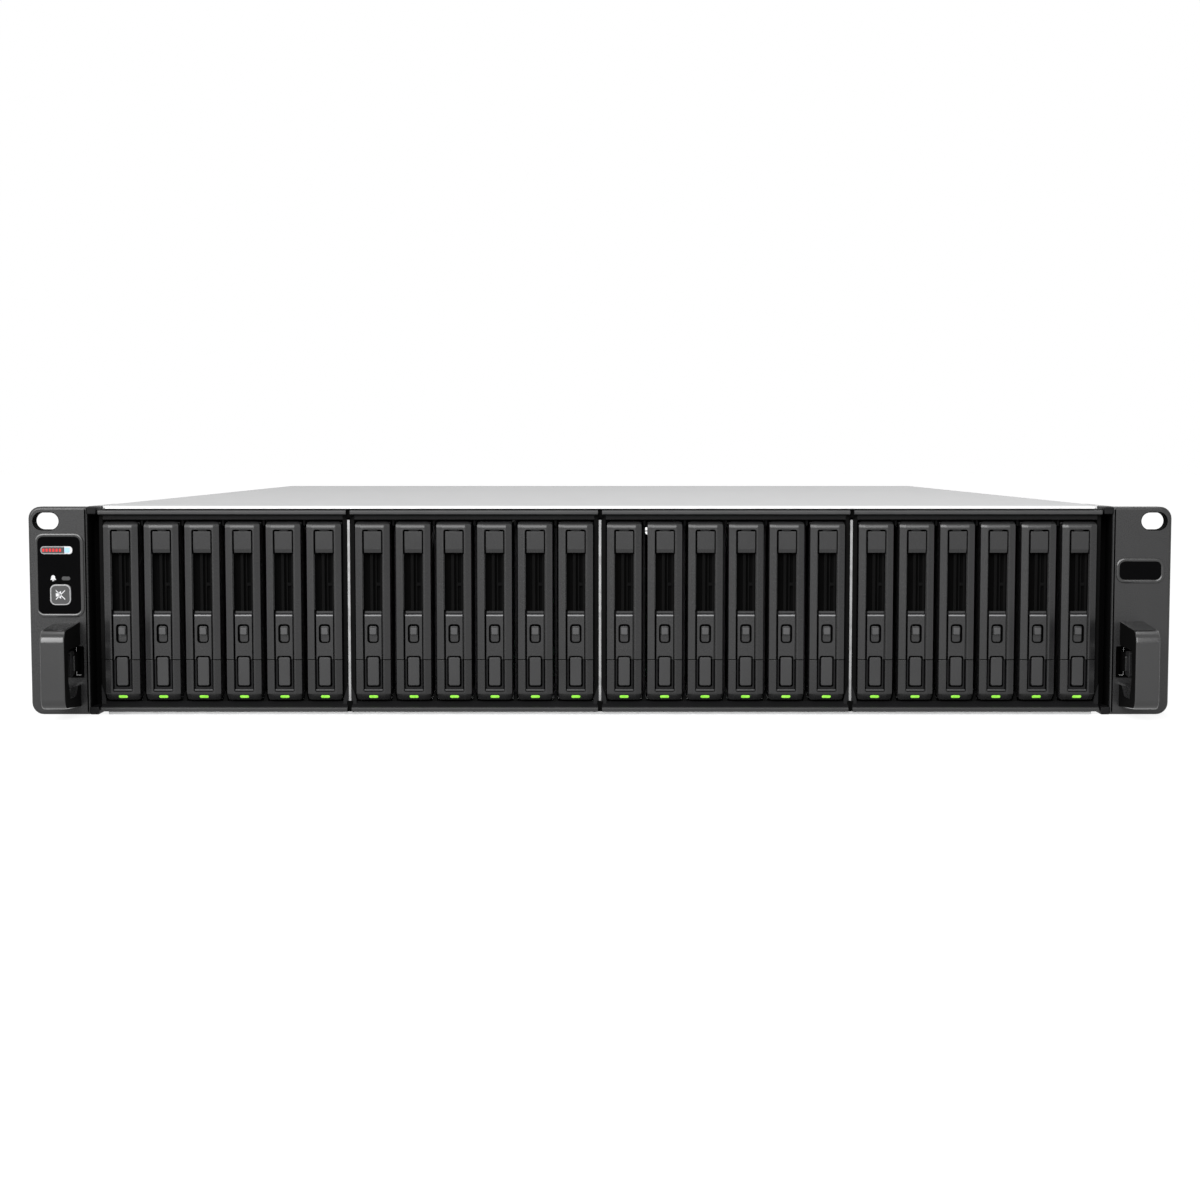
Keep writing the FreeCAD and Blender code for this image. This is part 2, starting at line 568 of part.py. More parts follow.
def tray_front():
    """Moulded front of a tray: lower block, wall behind the lever and the hook for its pin."""
    block_top = SEAM_Z - SEAM_GAP / 2
    wall_top = TRAY_TOP_Z - SEAT_GAP
    outline = [(BEVEL_DEPTH, TRAY_BOTTOM_Z), (0, BEVEL_TOP_Z), (0, block_top),
               (CARRIER_FACE_Y, block_top), (CARRIER_FACE_Y, wall_top),
               (TRAY_FRONT_DEPTH, wall_top), (TRAY_FRONT_DEPTH, TRAY_BOTTOM_Z)]
    body = side_profile(outline, -HALF_TRAY, HALF_TRAY)
    pocket_half = BUTTON_WIDTH / 2 + BUTTON_PLAY
    pocket = box(-pocket_half, pocket_half, -1, BUTTON_DEPTH + BUTTON_PLAY,
                 BUTTON_BOTTOM_Z - BUTTON_PLAY, BUTTON_BOTTOM_Z + BUTTON_HEIGHT + BUTTON_PLAY)
    vent = box(-RECESS_HALF_WIDTH, RECESS_HALF_WIDTH, 0, TRAY_FRONT_DEPTH + 1,
               VENT_BOTTOM_Z, VENT_TOP_Z)
    body = body.cut(edge_bevels(0, block_top) + [pocket, vent])
    hook = box(-HOOK_WIDTH / 2, HOOK_WIDTH / 2, PIN_Y, CARRIER_FACE_Y, PIN_Z - HOOK_DOWN, PIN_Z + HOOK_UP)
    seat = octagon_rod(-HOOK_WIDTH, HOOK_WIDTH, PIN_Y, PIN_Z, PIN_RADIUS + PIN_CLEARANCE)
    return joined([body, hook]).cut([seat])


def sled():
    """Rails above and below the drive, tied by an upright bar at the rear."""
    half = SLED_RAIL_WIDTH / 2
    bottom_z = DRIVE_BOTTOM_Z - SLED_RAIL_HEIGHT
    rails = [box(-half, half, TRAY_FRONT_DEPTH, SLED_END_Y, z, z + SLED_RAIL_HEIGHT)
             for z in (bottom_z, DRIVE_TOP_Z)]
    bar_x = -DRIVE_THICKNESS / 2 - SEAT_GAP
    bar = box(-half, bar_x, SLED_END_Y - SLED_BAR_LENGTH, SLED_END_Y, DRIVE_BOTTOM_Z, DRIVE_TOP_Z)
    return joined(rails + [bar])


def drive():
    return box(-DRIVE_THICKNESS / 2, DRIVE_THICKNESS / 2, DRIVE_START_Y, SLED_END_Y,
               DRIVE_BOTTOM_Z, DRIVE_TOP_Z)


def eject_button():
    """Push button of the lower block, with a bevelled top edge."""
    half = BUTTON_WIDTH / 2
    top = BUTTON_BOTTOM_Z + BUTTON_HEIGHT
    return side_profile([(0, BUTTON_BOTTOM_Z), (0, top - BUTTON_BEVEL), (BUTTON_BEVEL, top),
                         (BUTTON_DEPTH, top - BUTTON_BEVEL), (BUTTON_DEPTH, BUTTON_BOTTOM_Z)], -half, half)


def light_pipe():
    """Status light in the bevel under the button."""
    slope = BEVEL_DEPTH / (BEVEL_TOP_Z - TRAY_BOTTOM_Z)
    low, high = LED_CENTRE_Z - LED_HEIGHT / 2, LED_CENTRE_Z + LED_HEIGHT / 2

    def face_y(z):
        return (BEVEL_TOP_Z - z) * slope

    return side_profile([(face_y(low) - LED_PROUD, low), (face_y(high) - LED_PROUD, high),
                         (face_y(high), high), (face_y(low), low)], -LED_WIDTH / 2, LED_WIDTH / 2)


def drive_tray():
    return [tray_front(), sled(), drive(), eject_button(), light_pipe()]


def tray_lever():
    """Lever frame with its recess, ribbed vent and hinge pin, and the lock slider."""
    low = SEAM_Z + SEAM_GAP / 2
    octagon = NOSE_RADIUS * math.sqrt(0.5)
    outline = [(0, low), (0, PIN_Z), (PIN_Y - octagon, PIN_Z + octagon), (PIN_Y, TRAY_TOP_Z),
               (LEVER_DEPTH, PIN_Z), (LEVER_DEPTH, low)]
    body = side_profile(outline, -HALF_TRAY, HALF_TRAY)
    recess = box(-RECESS_HALF_WIDTH, RECESS_HALF_WIDTH, -1, RECESS_DEPTH, low - 1, RECESS_TOP_Z)
    rib_half = VENT_RIB_WIDTH / 2
    vents = [box(x, x + RECESS_HALF_WIDTH - rib_half, 0, LEVER_DEPTH + 1, VENT_BOTTOM_Z, VENT_TOP_Z)
             for x in (-RECESS_HALF_WIDTH, rib_half)]
    notch_half = BUTTON_WIDTH / 2 + BUTTON_PLAY
    button_notch = box(-notch_half, notch_half, -1, LEVER_DEPTH + 1, low - 1,
                       BUTTON_BOTTOM_Z + BUTTON_HEIGHT + BUTTON_PLAY)
    hinge_half = HOOK_WIDTH / 2 + HOOK_SIDE_PLAY
    hinge_pocket = box(-hinge_half, hinge_half, NOSE_WALL, LEVER_DEPTH + 1,
                       PIN_Z - HINGE_POCKET_DROP, TRAY_TOP_Z + 1)
    body = body.cut(edge_bevels(low, TRAY_TOP_Z) + [recess, button_notch, hinge_pocket] + vents)
    pin = rod_x(-hinge_half - 1, hinge_half + 1, PIN_Y, PIN_Z, PIN_RADIUS)
    pin = pin.cut([box(-HALF_TRAY, HALF_TRAY, 0, PIN_Y, PIN_Z - NOSE_RADIUS, PIN_Z + NOSE_RADIUS)])
    slider_pocket = box(-SLIDER_POCKET_WIDTH / 2, SLIDER_POCKET_WIDTH / 2, -1, SLIDER_POCKET_DEPTH,
                        SLIDER_POCKET_TOP_Z - SLIDER_POCKET_HEIGHT, SLIDER_POCKET_TOP_Z)
    frame = joined([body, pin]).cut([slider_pocket])
    slider = box(-SLIDER_WIDTH / 2, SLIDER_WIDTH / 2, 0, SLIDER_POCKET_DEPTH,
                 SLIDER_TOP_Z - SLIDER_HEIGHT, SLIDER_TOP_Z)
    return [frame, slider]


# ---- inside --------------------------------------------------------------------------------
def backplane():
    """Board behind the bays with one drive connector a tray and air slots between."""
    half = HALF_WIDTH - EDGE_TO_WALL
    board = box(-half, half, BACKPLANE_Y, BACKPLANE_Y + BOARD_THICKNESS, CAGE_FLOOR_TOP_Z, CAGE_ROOF_Z)
    slots = [box(x - AIR_SLOT_WIDTH / 2, x + AIR_SLOT_WIDTH / 2, BACKPLANE_Y - 1,
                 BACKPLANE_Y + BOARD_THICKNESS + 1, DRIVE_TOP_Z - AIR_SLOT_HEIGHT, DRIVE_TOP_Z)
             for x in divider_centres()[::2]]
    connector = box(-CONNECTOR_WIDTH / 2, CONNECTOR_WIDTH / 2, SLED_END_Y + CONNECTOR_TO_DRIVE,
                    BACKPLANE_Y, DRIVE_BOTTOM_Z, DRIVE_BOTTOM_Z + CONNECTOR_HEIGHT)
    return [board.cut(slots)] + [connector.translated(V(x, 0, 0)) for x in tray_centres()]


def fan(x, z):
    """Frame with its bore, and a rotor: twisted blades, one on each flat of the hub."""
    half = FAN_SIZE / 2
    end = FAN_FRONT_Y + FAN_DEPTH
    frame = box(x - half, x + half, FAN_FRONT_Y, end, z - half, z + half)
    frame = frame.cut([flat_sided_rod(x, z, FAN_FRONT_Y - 1, end + 1, FAN_BORE, FAN_BORE_SIDES)])
    hub_y = FAN_FRONT_Y + (FAN_DEPTH - FAN_HUB_LENGTH) / 2
    hub = flat_sided_rod(x, z, hub_y, hub_y + FAN_HUB_LENGTH, FAN_HUB_RADIUS, FAN_BLADES)
    middle_y = hub_y + FAN_HUB_LENGTH / 2
    blades = []
    for i in range(FAN_BLADES):
        root = z + FAN_HUB_RADIUS * math.cos(math.pi / FAN_BLADES) - FAN_BLADE_THICKNESS
        blade = box(x - FAN_BLADE_THICKNESS / 2, x + FAN_BLADE_THICKNESS / 2,
                    middle_y - FAN_BLADE_CHORD / 2, middle_y + FAN_BLADE_CHORD / 2,
                    root, root + FAN_BLADE_LENGTH)
        blade.rotate(V(x, middle_y, z), V(0, 0, 1), FAN_BLADE_TWIST_DEG)
        blade.rotate(V(x, 0, z), V(0, 1, 0), i * 360 / FAN_BLADES)
        blades.append(blade)
    return [frame, joined([hub] + blades)]


def fan_wall():
    """Sheet with a window for each fan across the chassis, and the four fans."""
    half = HALF_WIDTH - 2 * (SHEET + SEAT_GAP)
    middle_z = (SHEET + ROOF_Z) / 2
    wall = box(-half, half, FAN_FRONT_Y - FAN_WALL, FAN_FRONT_Y, SHEET, ROOF_Z - SEAT_GAP)
    centres = [(i - (FAN_COUNT - 1) / 2) * FAN_PITCH for i in range(FAN_COUNT)]
    reach = FAN_WINDOW / 2
    windows = [box(x - reach, x + reach, FAN_FRONT_Y - FAN_WALL - 1, FAN_FRONT_Y + 1,
                   middle_z - reach, middle_z + reach) for x in centres]
    return [wall.cut(windows)] + [solid for x in centres for solid in fan(x, middle_z)]


def power_supply(index):
    """Hot-swap supply: case with inlet and fan well, pull handle and release tab."""
    x_high = PSU_RIGHT_EDGE
    x_low = x_high - PSU_WIDTH
    z_low = PSU_FIRST_Z + index * PSU_PITCH
    z_mid = z_low + PSU_HEIGHT / 2
    case = box(x_low, x_high, BODY_DEPTH - PSU_LENGTH, BODY_DEPTH, z_low, z_low + PSU_HEIGHT)
    inlet_x = x_high - INLET_EDGE - INLET_WIDTH / 2
    floor_y = BODY_DEPTH - INLET_DEPTH
    cavity = box(inlet_x - INLET_WIDTH / 2, inlet_x + INLET_WIDTH / 2, floor_y, BODY_DEPTH + 1,
                 z_mid - INLET_HEIGHT / 2, z_mid + INLET_HEIGHT / 2)
    top_edges = [e for e in cavity.Edges if abs(e.tangentAt(e.FirstParameter).y) > 0.9
                 and e.Vertexes[0].Z > z_mid]
    cavity = cavity.makeChamfer(INLET_CORNER, top_edges)
    fan_x = x_low + PSU_FAN_EDGE + PSU_FAN_RADIUS
    well = flat_sided_rod(fan_x, z_mid, BODY_DEPTH - PSU_FAN_DEPTH, BODY_DEPTH + 1, PSU_FAN_RADIUS,
                          FAN_BORE_SIDES)
    case = case.cut([cavity, well])
    half_bar, reach = PSU_GUARD_BAR / 2, PSU_FAN_RADIUS + 1
    guard_y = BODY_DEPTH - PSU_GUARD_BAR
    bars = [box(fan_x - reach, fan_x + reach, guard_y, BODY_DEPTH, z_mid - half_bar, z_mid + half_bar),
            box(fan_x - half_bar, fan_x + half_bar, guard_y, BODY_DEPTH, z_mid - reach, z_mid + reach)]
    half_w, half_h = INLET_PIN_WIDTH / 2, INLET_PIN_HEIGHT / 2
    pins = [box(inlet_x + dx - half_w, inlet_x + dx + half_w, floor_y, BODY_DEPTH - INLET_PIN_SETBACK,
                z_mid + dz - half_h, z_mid + dz + half_h) for dx, dz in INLET_PIN_PLACES]
    handle_x = fan_x + PSU_FAN_RADIUS + PSU_HANDLE_FROM_FAN
    return [joined([case] + bars + pins), psu_handle(handle_x, z_low), psu_tab(x_low, z_mid)]


def psu_handle(x, z_low):
    """Loop of flat bar between the fan and the inlet."""
    half = PSU_HANDLE_BAR / 2
    y_end = BODY_DEPTH + PSU_HANDLE_REACH
    low, high = z_low + PSU_HANDLE_INSET, z_low + PSU_HEIGHT - PSU_HANDLE_INSET
    outer = box(x - half, x + half, BODY_DEPTH, y_end, low, high)
    inner = box(x - half - 1, x + half + 1, BODY_DEPTH - 1, y_end - PSU_HANDLE_BAR,
                low + PSU_HANDLE_BAR, high - PSU_HANDLE_BAR)
    edges = [e for e in outer.Edges if abs(e.tangentAt(e.FirstParameter).x) > 0.9
             and e.Vertexes[0].Y > BODY_DEPTH + 1]
    return outer.makeChamfer(PSU_HANDLE_BAR, edges).cut(inner)


def psu_tab(x_low, z_mid):
    """Thumb tab that releases the supply."""
    root, tip = PSU_TAB_HEIGHT / 2, PSU_TAB_HEIGHT / 2 - PSU_TAB_TAPER
    y_end = BODY_DEPTH + PSU_TAB_LENGTH
    return side_profile([(BODY_DEPTH, z_mid - root), (y_end, z_mid - tip), (y_end, z_mid + tip),
                         (BODY_DEPTH, z_mid + root)], x_low + 1, x_low + 1 + PSU_TAB_THICKNESS)


def expander_module():
    """Input and output module: case, end plate and four cable ports."""
    x_high = EXPANDER_LEFT + EXPANDER_WIDTH
    z_mid = EXPANDER_BOTTOM + EXPANDER_HEIGHT / 2
    case = box(EXPANDER_LEFT, x_high, BODY_DEPTH - EXPANDER_LENGTH, BODY_DEPTH, EXPANDER_BOTTOM,
               EXPANDER_BOTTOM + EXPANDER_HEIGHT)
    cages, holes = [], []
    for i in range(EXPANDER_PORTS):
        x = EXPANDER_LEFT + PORT_FIRST + i * PORT_PITCH
        cages.append(box(x - PORT_WIDTH / 2 - PORT_CAGE, x + PORT_WIDTH / 2 + PORT_CAGE,
                         BODY_DEPTH - PORT_DEPTH, BODY_DEPTH + PORT_PROUD,
                         z_mid - PORT_HEIGHT / 2 - PORT_CAGE, z_mid + PORT_HEIGHT / 2 + PORT_CAGE))
        holes.append(box(x - PORT_WIDTH / 2, x + PORT_WIDTH / 2, BODY_DEPTH - PORT_DEPTH,
                         BODY_DEPTH + PORT_PROUD + 1, z_mid - PORT_HEIGHT / 2, z_mid + PORT_HEIGHT / 2))
    return [joined([case] + cages).cut(holes)]


def main():
    os.makedirs("parts", exist_ok=True)
    save("chassis", [base_tray()])
    save("drive_cage", [front_roof()] + cage_sheets() + backplane())
    save("top_cover", [top_cover()])
    save("bay_frames", [bay_frame(x) for x in group_centres()])
    save("rack_ears", left_ear() + right_ear() + [latch_pin(), mirrored(latch_pin())])
    save("mute_button", [mute_button()])
    save("right_rack_latch", [rack_latch()])
    save("left_rack_latch", [mirrored(rack_latch())])
    tray, lever = drive_tray(), tray_lever()
    for number, x in enumerate(tray_centres(), 1):
        save("drive_tray_%02d" % number, [s.translated(V(x, 0, 0)) for s in tray])
        save("tray_lever_%02d" % number, [s.translated(V(x, 0, 0)) for s in lever])
    save("fan_modules", fan_wall())
    for index in range(PSU_COUNT):
        save("power_supply_%d" % (index + 1), power_supply(index))
    save("expander_module", expander_module())


main()
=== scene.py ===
"""Dresses the two-unit disk shelf: trays, levers, bay frames, ears, cover and rear modules."""

import math

import bmesh
import bpy
from bpy.props import FloatProperty, FloatVectorProperty, IntProperty, PointerProperty
from bpy.types import Operator, Panel, PropertyGroup
from mathutils import Euler, Matrix, Vector


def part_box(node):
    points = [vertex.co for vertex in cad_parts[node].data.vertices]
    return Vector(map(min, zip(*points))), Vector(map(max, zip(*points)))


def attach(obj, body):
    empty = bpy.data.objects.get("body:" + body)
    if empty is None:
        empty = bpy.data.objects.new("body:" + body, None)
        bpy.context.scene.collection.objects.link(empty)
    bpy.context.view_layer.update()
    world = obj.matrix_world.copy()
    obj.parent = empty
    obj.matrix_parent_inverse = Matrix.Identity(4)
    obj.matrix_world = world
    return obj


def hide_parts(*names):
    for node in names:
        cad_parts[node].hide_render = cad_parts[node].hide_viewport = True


bl_info = {
    "name": "Disk shelf",
    "version": (1, 0, 0),
    "blender": (4, 5, 0),
    "location": "View3D > Sidebar > Disk Shelf",
    "description": "Builds the finished pieces of a two-unit disk shelf over its packed frame",
    "category": "Object",
}

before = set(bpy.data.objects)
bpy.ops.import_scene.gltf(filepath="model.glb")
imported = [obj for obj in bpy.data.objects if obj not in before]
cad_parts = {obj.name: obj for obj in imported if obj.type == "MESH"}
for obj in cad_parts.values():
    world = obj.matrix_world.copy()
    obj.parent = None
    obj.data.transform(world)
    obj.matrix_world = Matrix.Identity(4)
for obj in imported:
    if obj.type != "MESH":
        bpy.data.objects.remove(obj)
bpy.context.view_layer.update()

MM = 0.001
FRONT_Y = -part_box("chassis")[1].y       # front face of the ears
BODY_DEPTH = 2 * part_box("chassis")[1].y / MM
BODY_HEIGHT = 88.0
TRAY_COUNT = 24
TRAY_LOW = 6.1
TRAY_HIGH = 81.65
HALF_TRAY = 7.25
SEAM = 23.3
NOSE = 2.65                             # radius of the lever's rounded top


def corners(node):
    """Lowest and highest corner of a node in millimetres, Y from the front of the ears."""
    return [Vector((corner.x / MM, (corner.y - FRONT_Y) / MM, corner.z / MM))
            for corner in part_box(node)[:2]]


def tray_names():
    return ["%02d" % number for number in range(1, TRAY_COUNT + 1)]


def tray_centre(number):
    low, high = corners("drive_tray_" + number)
    return (low.x + high.x) / 2


def bay_groups():
    """Tray centres in groups, split where the step between two trays is wide."""
    centres = [tray_centre(number) for number in tray_names()]
    step = centres[1] - centres[0]
    groups = [[centres[0]]]
    for before, after in zip(centres, centres[1:]):
        if after - before > step * 1.05:
            groups.append([])
        groups[-1].append(after)
    return groups


# ---- settings ------------------------------------------------------------------------------
def colour_property(name, description, default):
    return FloatVectorProperty(name=name, description=description, subtype="COLOR", size=3,
                               min=0, max=1, default=default)


def length_property(name, description, default):
    return FloatProperty(name=name, description=description, default=default * MM, min=0,
                         unit="LENGTH", precision=5)


def power_property(name, description, default):
    return FloatProperty(name=name, description=description, default=default, min=0, unit="POWER")


class ShelfSizes(PropertyGroup):
    """Sizes of the small forms."""
    bezel_width: length_property("Bezel width", "Width of the bead round a window", 1.4)
    bezel_height: length_property("Bezel height", "How far the bead stands proud", 0.85)
    pad_gap: length_property("Pad gap", "Gap round the pad in the lever recess", 0.72)
    perforation: length_property("Perforation", "Radius of the holes in the rear vents", 0.9)
    guard_rings: IntProperty(name="Guard rings", description="Wire rings of a fan guard",
                             default=4, min=1, max=12)


class ShelfColours(PropertyGroup):
    """Base colours of the finishes."""
    tray: colour_property("Trays", "Moulded tray fronts", (0.022, 0.022, 0.0225))
    lever: colour_property("Levers", "Moulded lever frames", (0.018, 0.018, 0.0185))
    bay_frame: colour_property("Bay frames", "Moulded frames round the trays",
                               (0.006, 0.006, 0.0065))
    ear: colour_property("Ears", "Rack ears and handles", (0.02, 0.02, 0.0205))
    zinc: colour_property("Sheet steel", "Zinc-coated chassis and cover", (0.5, 0.501, 0.503))
    # near black that stands for shade: painted shade on vent floors, pocket walls, gaps and faces
    # turned from the light
    cavity: colour_property("Deep parts", "Unlit plastic inside vents", (0.003, 0.003, 0.003))
    status_light: colour_property("Status light", "Light of the trays", (0.24, 0.78, 0.04))
    module: colour_property("Modules", "Plated cases of supplies and module", (0.52, 0.53, 0.54))
    release: colour_property("Release tabs", "Thumb tabs of the supplies", (0.02, 0.2, 0.11))


class ShelfStage(PropertyGroup):
    """Camera and lamps."""
    lens: FloatProperty(name="Lens", description="Focal length", default=74.86, min=10)
    distance: length_property("Distance", "Camera to the ear front", 1053)
    height: length_property("Height", "Camera above the floor", 109.95)
    tilt: FloatProperty(name="Tilt", description="How far the camera looks down",
                        default=math.radians(5.35), unit="ROTATION")
    shift: FloatProperty(name="Shift", description="Upward shift of the picture", default=0.0733)
    key_light: power_property("Key light", "Power of the lamp above the front", 45)
    side_light: power_property("Side light", "Power of the lamp at the left", 27)
    top_light: power_property("Top light", "Power of the lamp overhead", 8)
    rear_light: power_property("Rear light", "Power of the lamp behind", 14)
    room_light: FloatProperty(name="Room light", description="Strength of the surroundings",
                              default=0.05, min=0)


# ---- finishes ------------------------------------------------------------------------------
def fill(tree, node, values):
    """Sets a node's inputs, given as values or as other nodes' outputs."""
    for key, value in values.items():
        if isinstance(value, bpy.types.NodeSocket):
            tree.links.new(value, node.inputs[key])
        else:
            node.inputs[key].default_value = value


def add_node(tree, kind, values=None, **settings):
    """A node with its settings and its inputs."""
    made = tree.nodes.new(kind)
    for key, value in settings.items():
        setattr(made, key, value)
    fill(tree, made, values or {})
    return made


def maths(tree, operation, *values):
    """The result of a sum on numbers or other nodes' outputs."""
    return add_node(tree, "ShaderNodeMath", dict(enumerate(values)), operation=operation).outputs[0]


def empty_finish(name):
    """A new material, its tree, its shader and the place on the piece."""
    finish = bpy.data.materials.new(name)
    finish.use_nodes = True
    tree = finish.node_tree
    shader = tree.nodes["Principled BSDF"]
    place = add_node(tree, "ShaderNodeTexCoord").outputs["Object"]
    return finish, tree, shader, place


def toned(colour, factor):
    return tuple(min(1.0, part * factor) for part in colour)


def grain(tree, place, size, detail=3.0, stretch=(1, 1, 1)):
    """Noise with features of that size in millimetres, drawn out along an axis."""
    scaled = add_node(tree, "ShaderNodeMapping", {"Vector": place, "Scale": stretch})
    noise = add_node(tree, "ShaderNodeTexNoise", {
        "Vector": scaled.outputs["Vector"], "Scale": 1 / (size * MM), "Detail": detail,
        "Roughness": 0.6})
    return noise.outputs["Fac"]


def between(tree, factor, low, high):
    """A number that follows a factor from low to high."""
    spread = add_node(tree, "ShaderNodeMapRange", {
        "Value": factor, "From Min": 0.3, "From Max": 0.7, "To Min": low, "To Max": high})
    return spread.outputs["Result"]


def mixed(tree, factor, low, high):
    """A colour that follows a factor from low to high."""
    ramp = add_node(tree, "ShaderNodeValToRGB", {"Fac": factor})
    for element, position, colour in zip(ramp.color_ramp.elements, (0.3, 0.7), (low, high)):
        element.position, element.color = position, tuple(colour) + (1.0,)
    return ramp.outputs["Color"]


def raised(tree, height, strength, depth):
    bump = add_node(tree, "ShaderNodeBump", {"Height": height, "Strength": strength,
                                             "Distance": depth * MM})
    return bump.outputs["Normal"]


def moulded(name, colour, roughness=0.4, texture=0.3, relief=0.2, variation=0.12, gloss=0.3):
    """Moulded plastic with a fine spark-eroded grain."""
    finish, tree, shader, place = empty_finish(name)
    fine, broad = grain(tree, place, texture), grain(tree, place, 30, 2)
    shade = maths(tree, "MULTIPLY", maths(tree, "MULTIPLY_ADD", fine, broad, broad), 0.66)
    fill(tree, shader, {
        "Base Color": mixed(tree, shade, toned(colour, 1 - variation),
                            toned(colour, 1 + variation)),
        "Roughness": between(tree, fine, roughness - 0.06, roughness + 0.06),
        "Normal": raised(tree, fine, relief, 0.05),
        "Specular IOR Level": gloss})
    return finish


def sheet_steel(name, colour, roughness=0.42, metal=0.85, flake=7.0, along=(1, 1, 1), gloss=0.5):
    """Zinc-coated sheet with a soft spangle and fine rolling marks."""
    finish, tree, shader, place = empty_finish(name)
    cells = add_node(tree, "ShaderNodeTexVoronoi", {"Vector": place, "Scale": 1 / (flake * MM)})
    tone = add_node(tree, "ShaderNodeSeparateColor", {"Color": cells.outputs["Color"]})
    fine = grain(tree, place, 0.6, 2, along)
    spread = maths(tree, "MULTIPLY_ADD", tone.outputs[0], 0.35, 0.15)
    total = maths(tree, "MULTIPLY_ADD", fine, 0.35, spread)
    fill(tree, shader, {
        "Base Color": mixed(tree, total, toned(colour, 0.93), toned(colour, 1.05)),
        "Roughness": between(tree, total, roughness - 0.07, roughness + 0.07),
        "Normal": raised(tree, fine, 0.12, 0.03),
        "Metallic": metal, "Specular Tint": (0.55, 0.55, 0.56, 1), "Specular IOR Level": gloss})
    return finish


def painted_lip_highlight(finish, depth, colour):
    """Paints a pale colour over what lies within a depth from the front of the ears, a painted
    highlight.
    """
    tree = finish.node_tree
    socket = tree.nodes["Principled BSDF"].inputs["Base Color"]
    plain = socket.links[0].from_socket
    place = add_node(tree, "ShaderNodeTexCoord").outputs["Object"]
    parts = add_node(tree, "ShaderNodeSeparateXYZ", {"Vector": place})
    edge = FRONT_Y + depth * MM
    past_painted_highlight = add_node(tree, "ShaderNodeMapRange", {
        "Value": parts.outputs["Y"], "From Min": edge - MM, "From Max": edge + MM})
    both = add_node(tree, "ShaderNodeMix", {
        0: past_painted_highlight.outputs["Result"], 6: colour + (1.0,), 7: plain}, data_type="RGBA")
    tree.links.new(both.outputs[2], socket)
    return finish


def glossy_window(name, colour):
    """Dark polished window with faint dust."""
    finish, tree, shader, place = empty_finish(name)
    dust = grain(tree, place, 2.5, 4)
    fill(tree, shader, {"Base Color": mixed(tree, dust, toned(colour, 0.8), toned(colour, 1.3)),
                        "Roughness": between(tree, dust, 0.09, 0.15), "Specular IOR Level": 0.03})
    return finish


def lit(name, core, rim, strength):
    """A lit light pipe with a faint grain between two tints."""
    finish, tree, shader, place = empty_finish(name)
    tint = mixed(tree, grain(tree, place, 1.2, 1), rim, core)
    fill(tree, shader, {"Base Color": tint, "Emission Color": tint,
                        "Emission Strength": strength, "Roughness": 0.35})
    return finish


def circuit_board(name):
    """Green solder mask with copper tracks."""
    finish, tree, shader, place = empty_finish(name)
    tracks = add_node(tree, "ShaderNodeTexBrick", {
        "Vector": place, "Scale": 90.0, "Color1": (0.012, 0.09, 0.045, 1),
        "Color2": (0.016, 0.12, 0.06, 1), "Mortar": (0.03, 0.2, 0.09, 1), "Mortar Size": 0.03})
    fill(tree, shader, {"Base Color": tracks.outputs["Color"], "Roughness": 0.35,
                        "Normal": raised(tree, tracks.outputs["Fac"], 0.3, 0.05)})
    return finish


FINISHES = {}


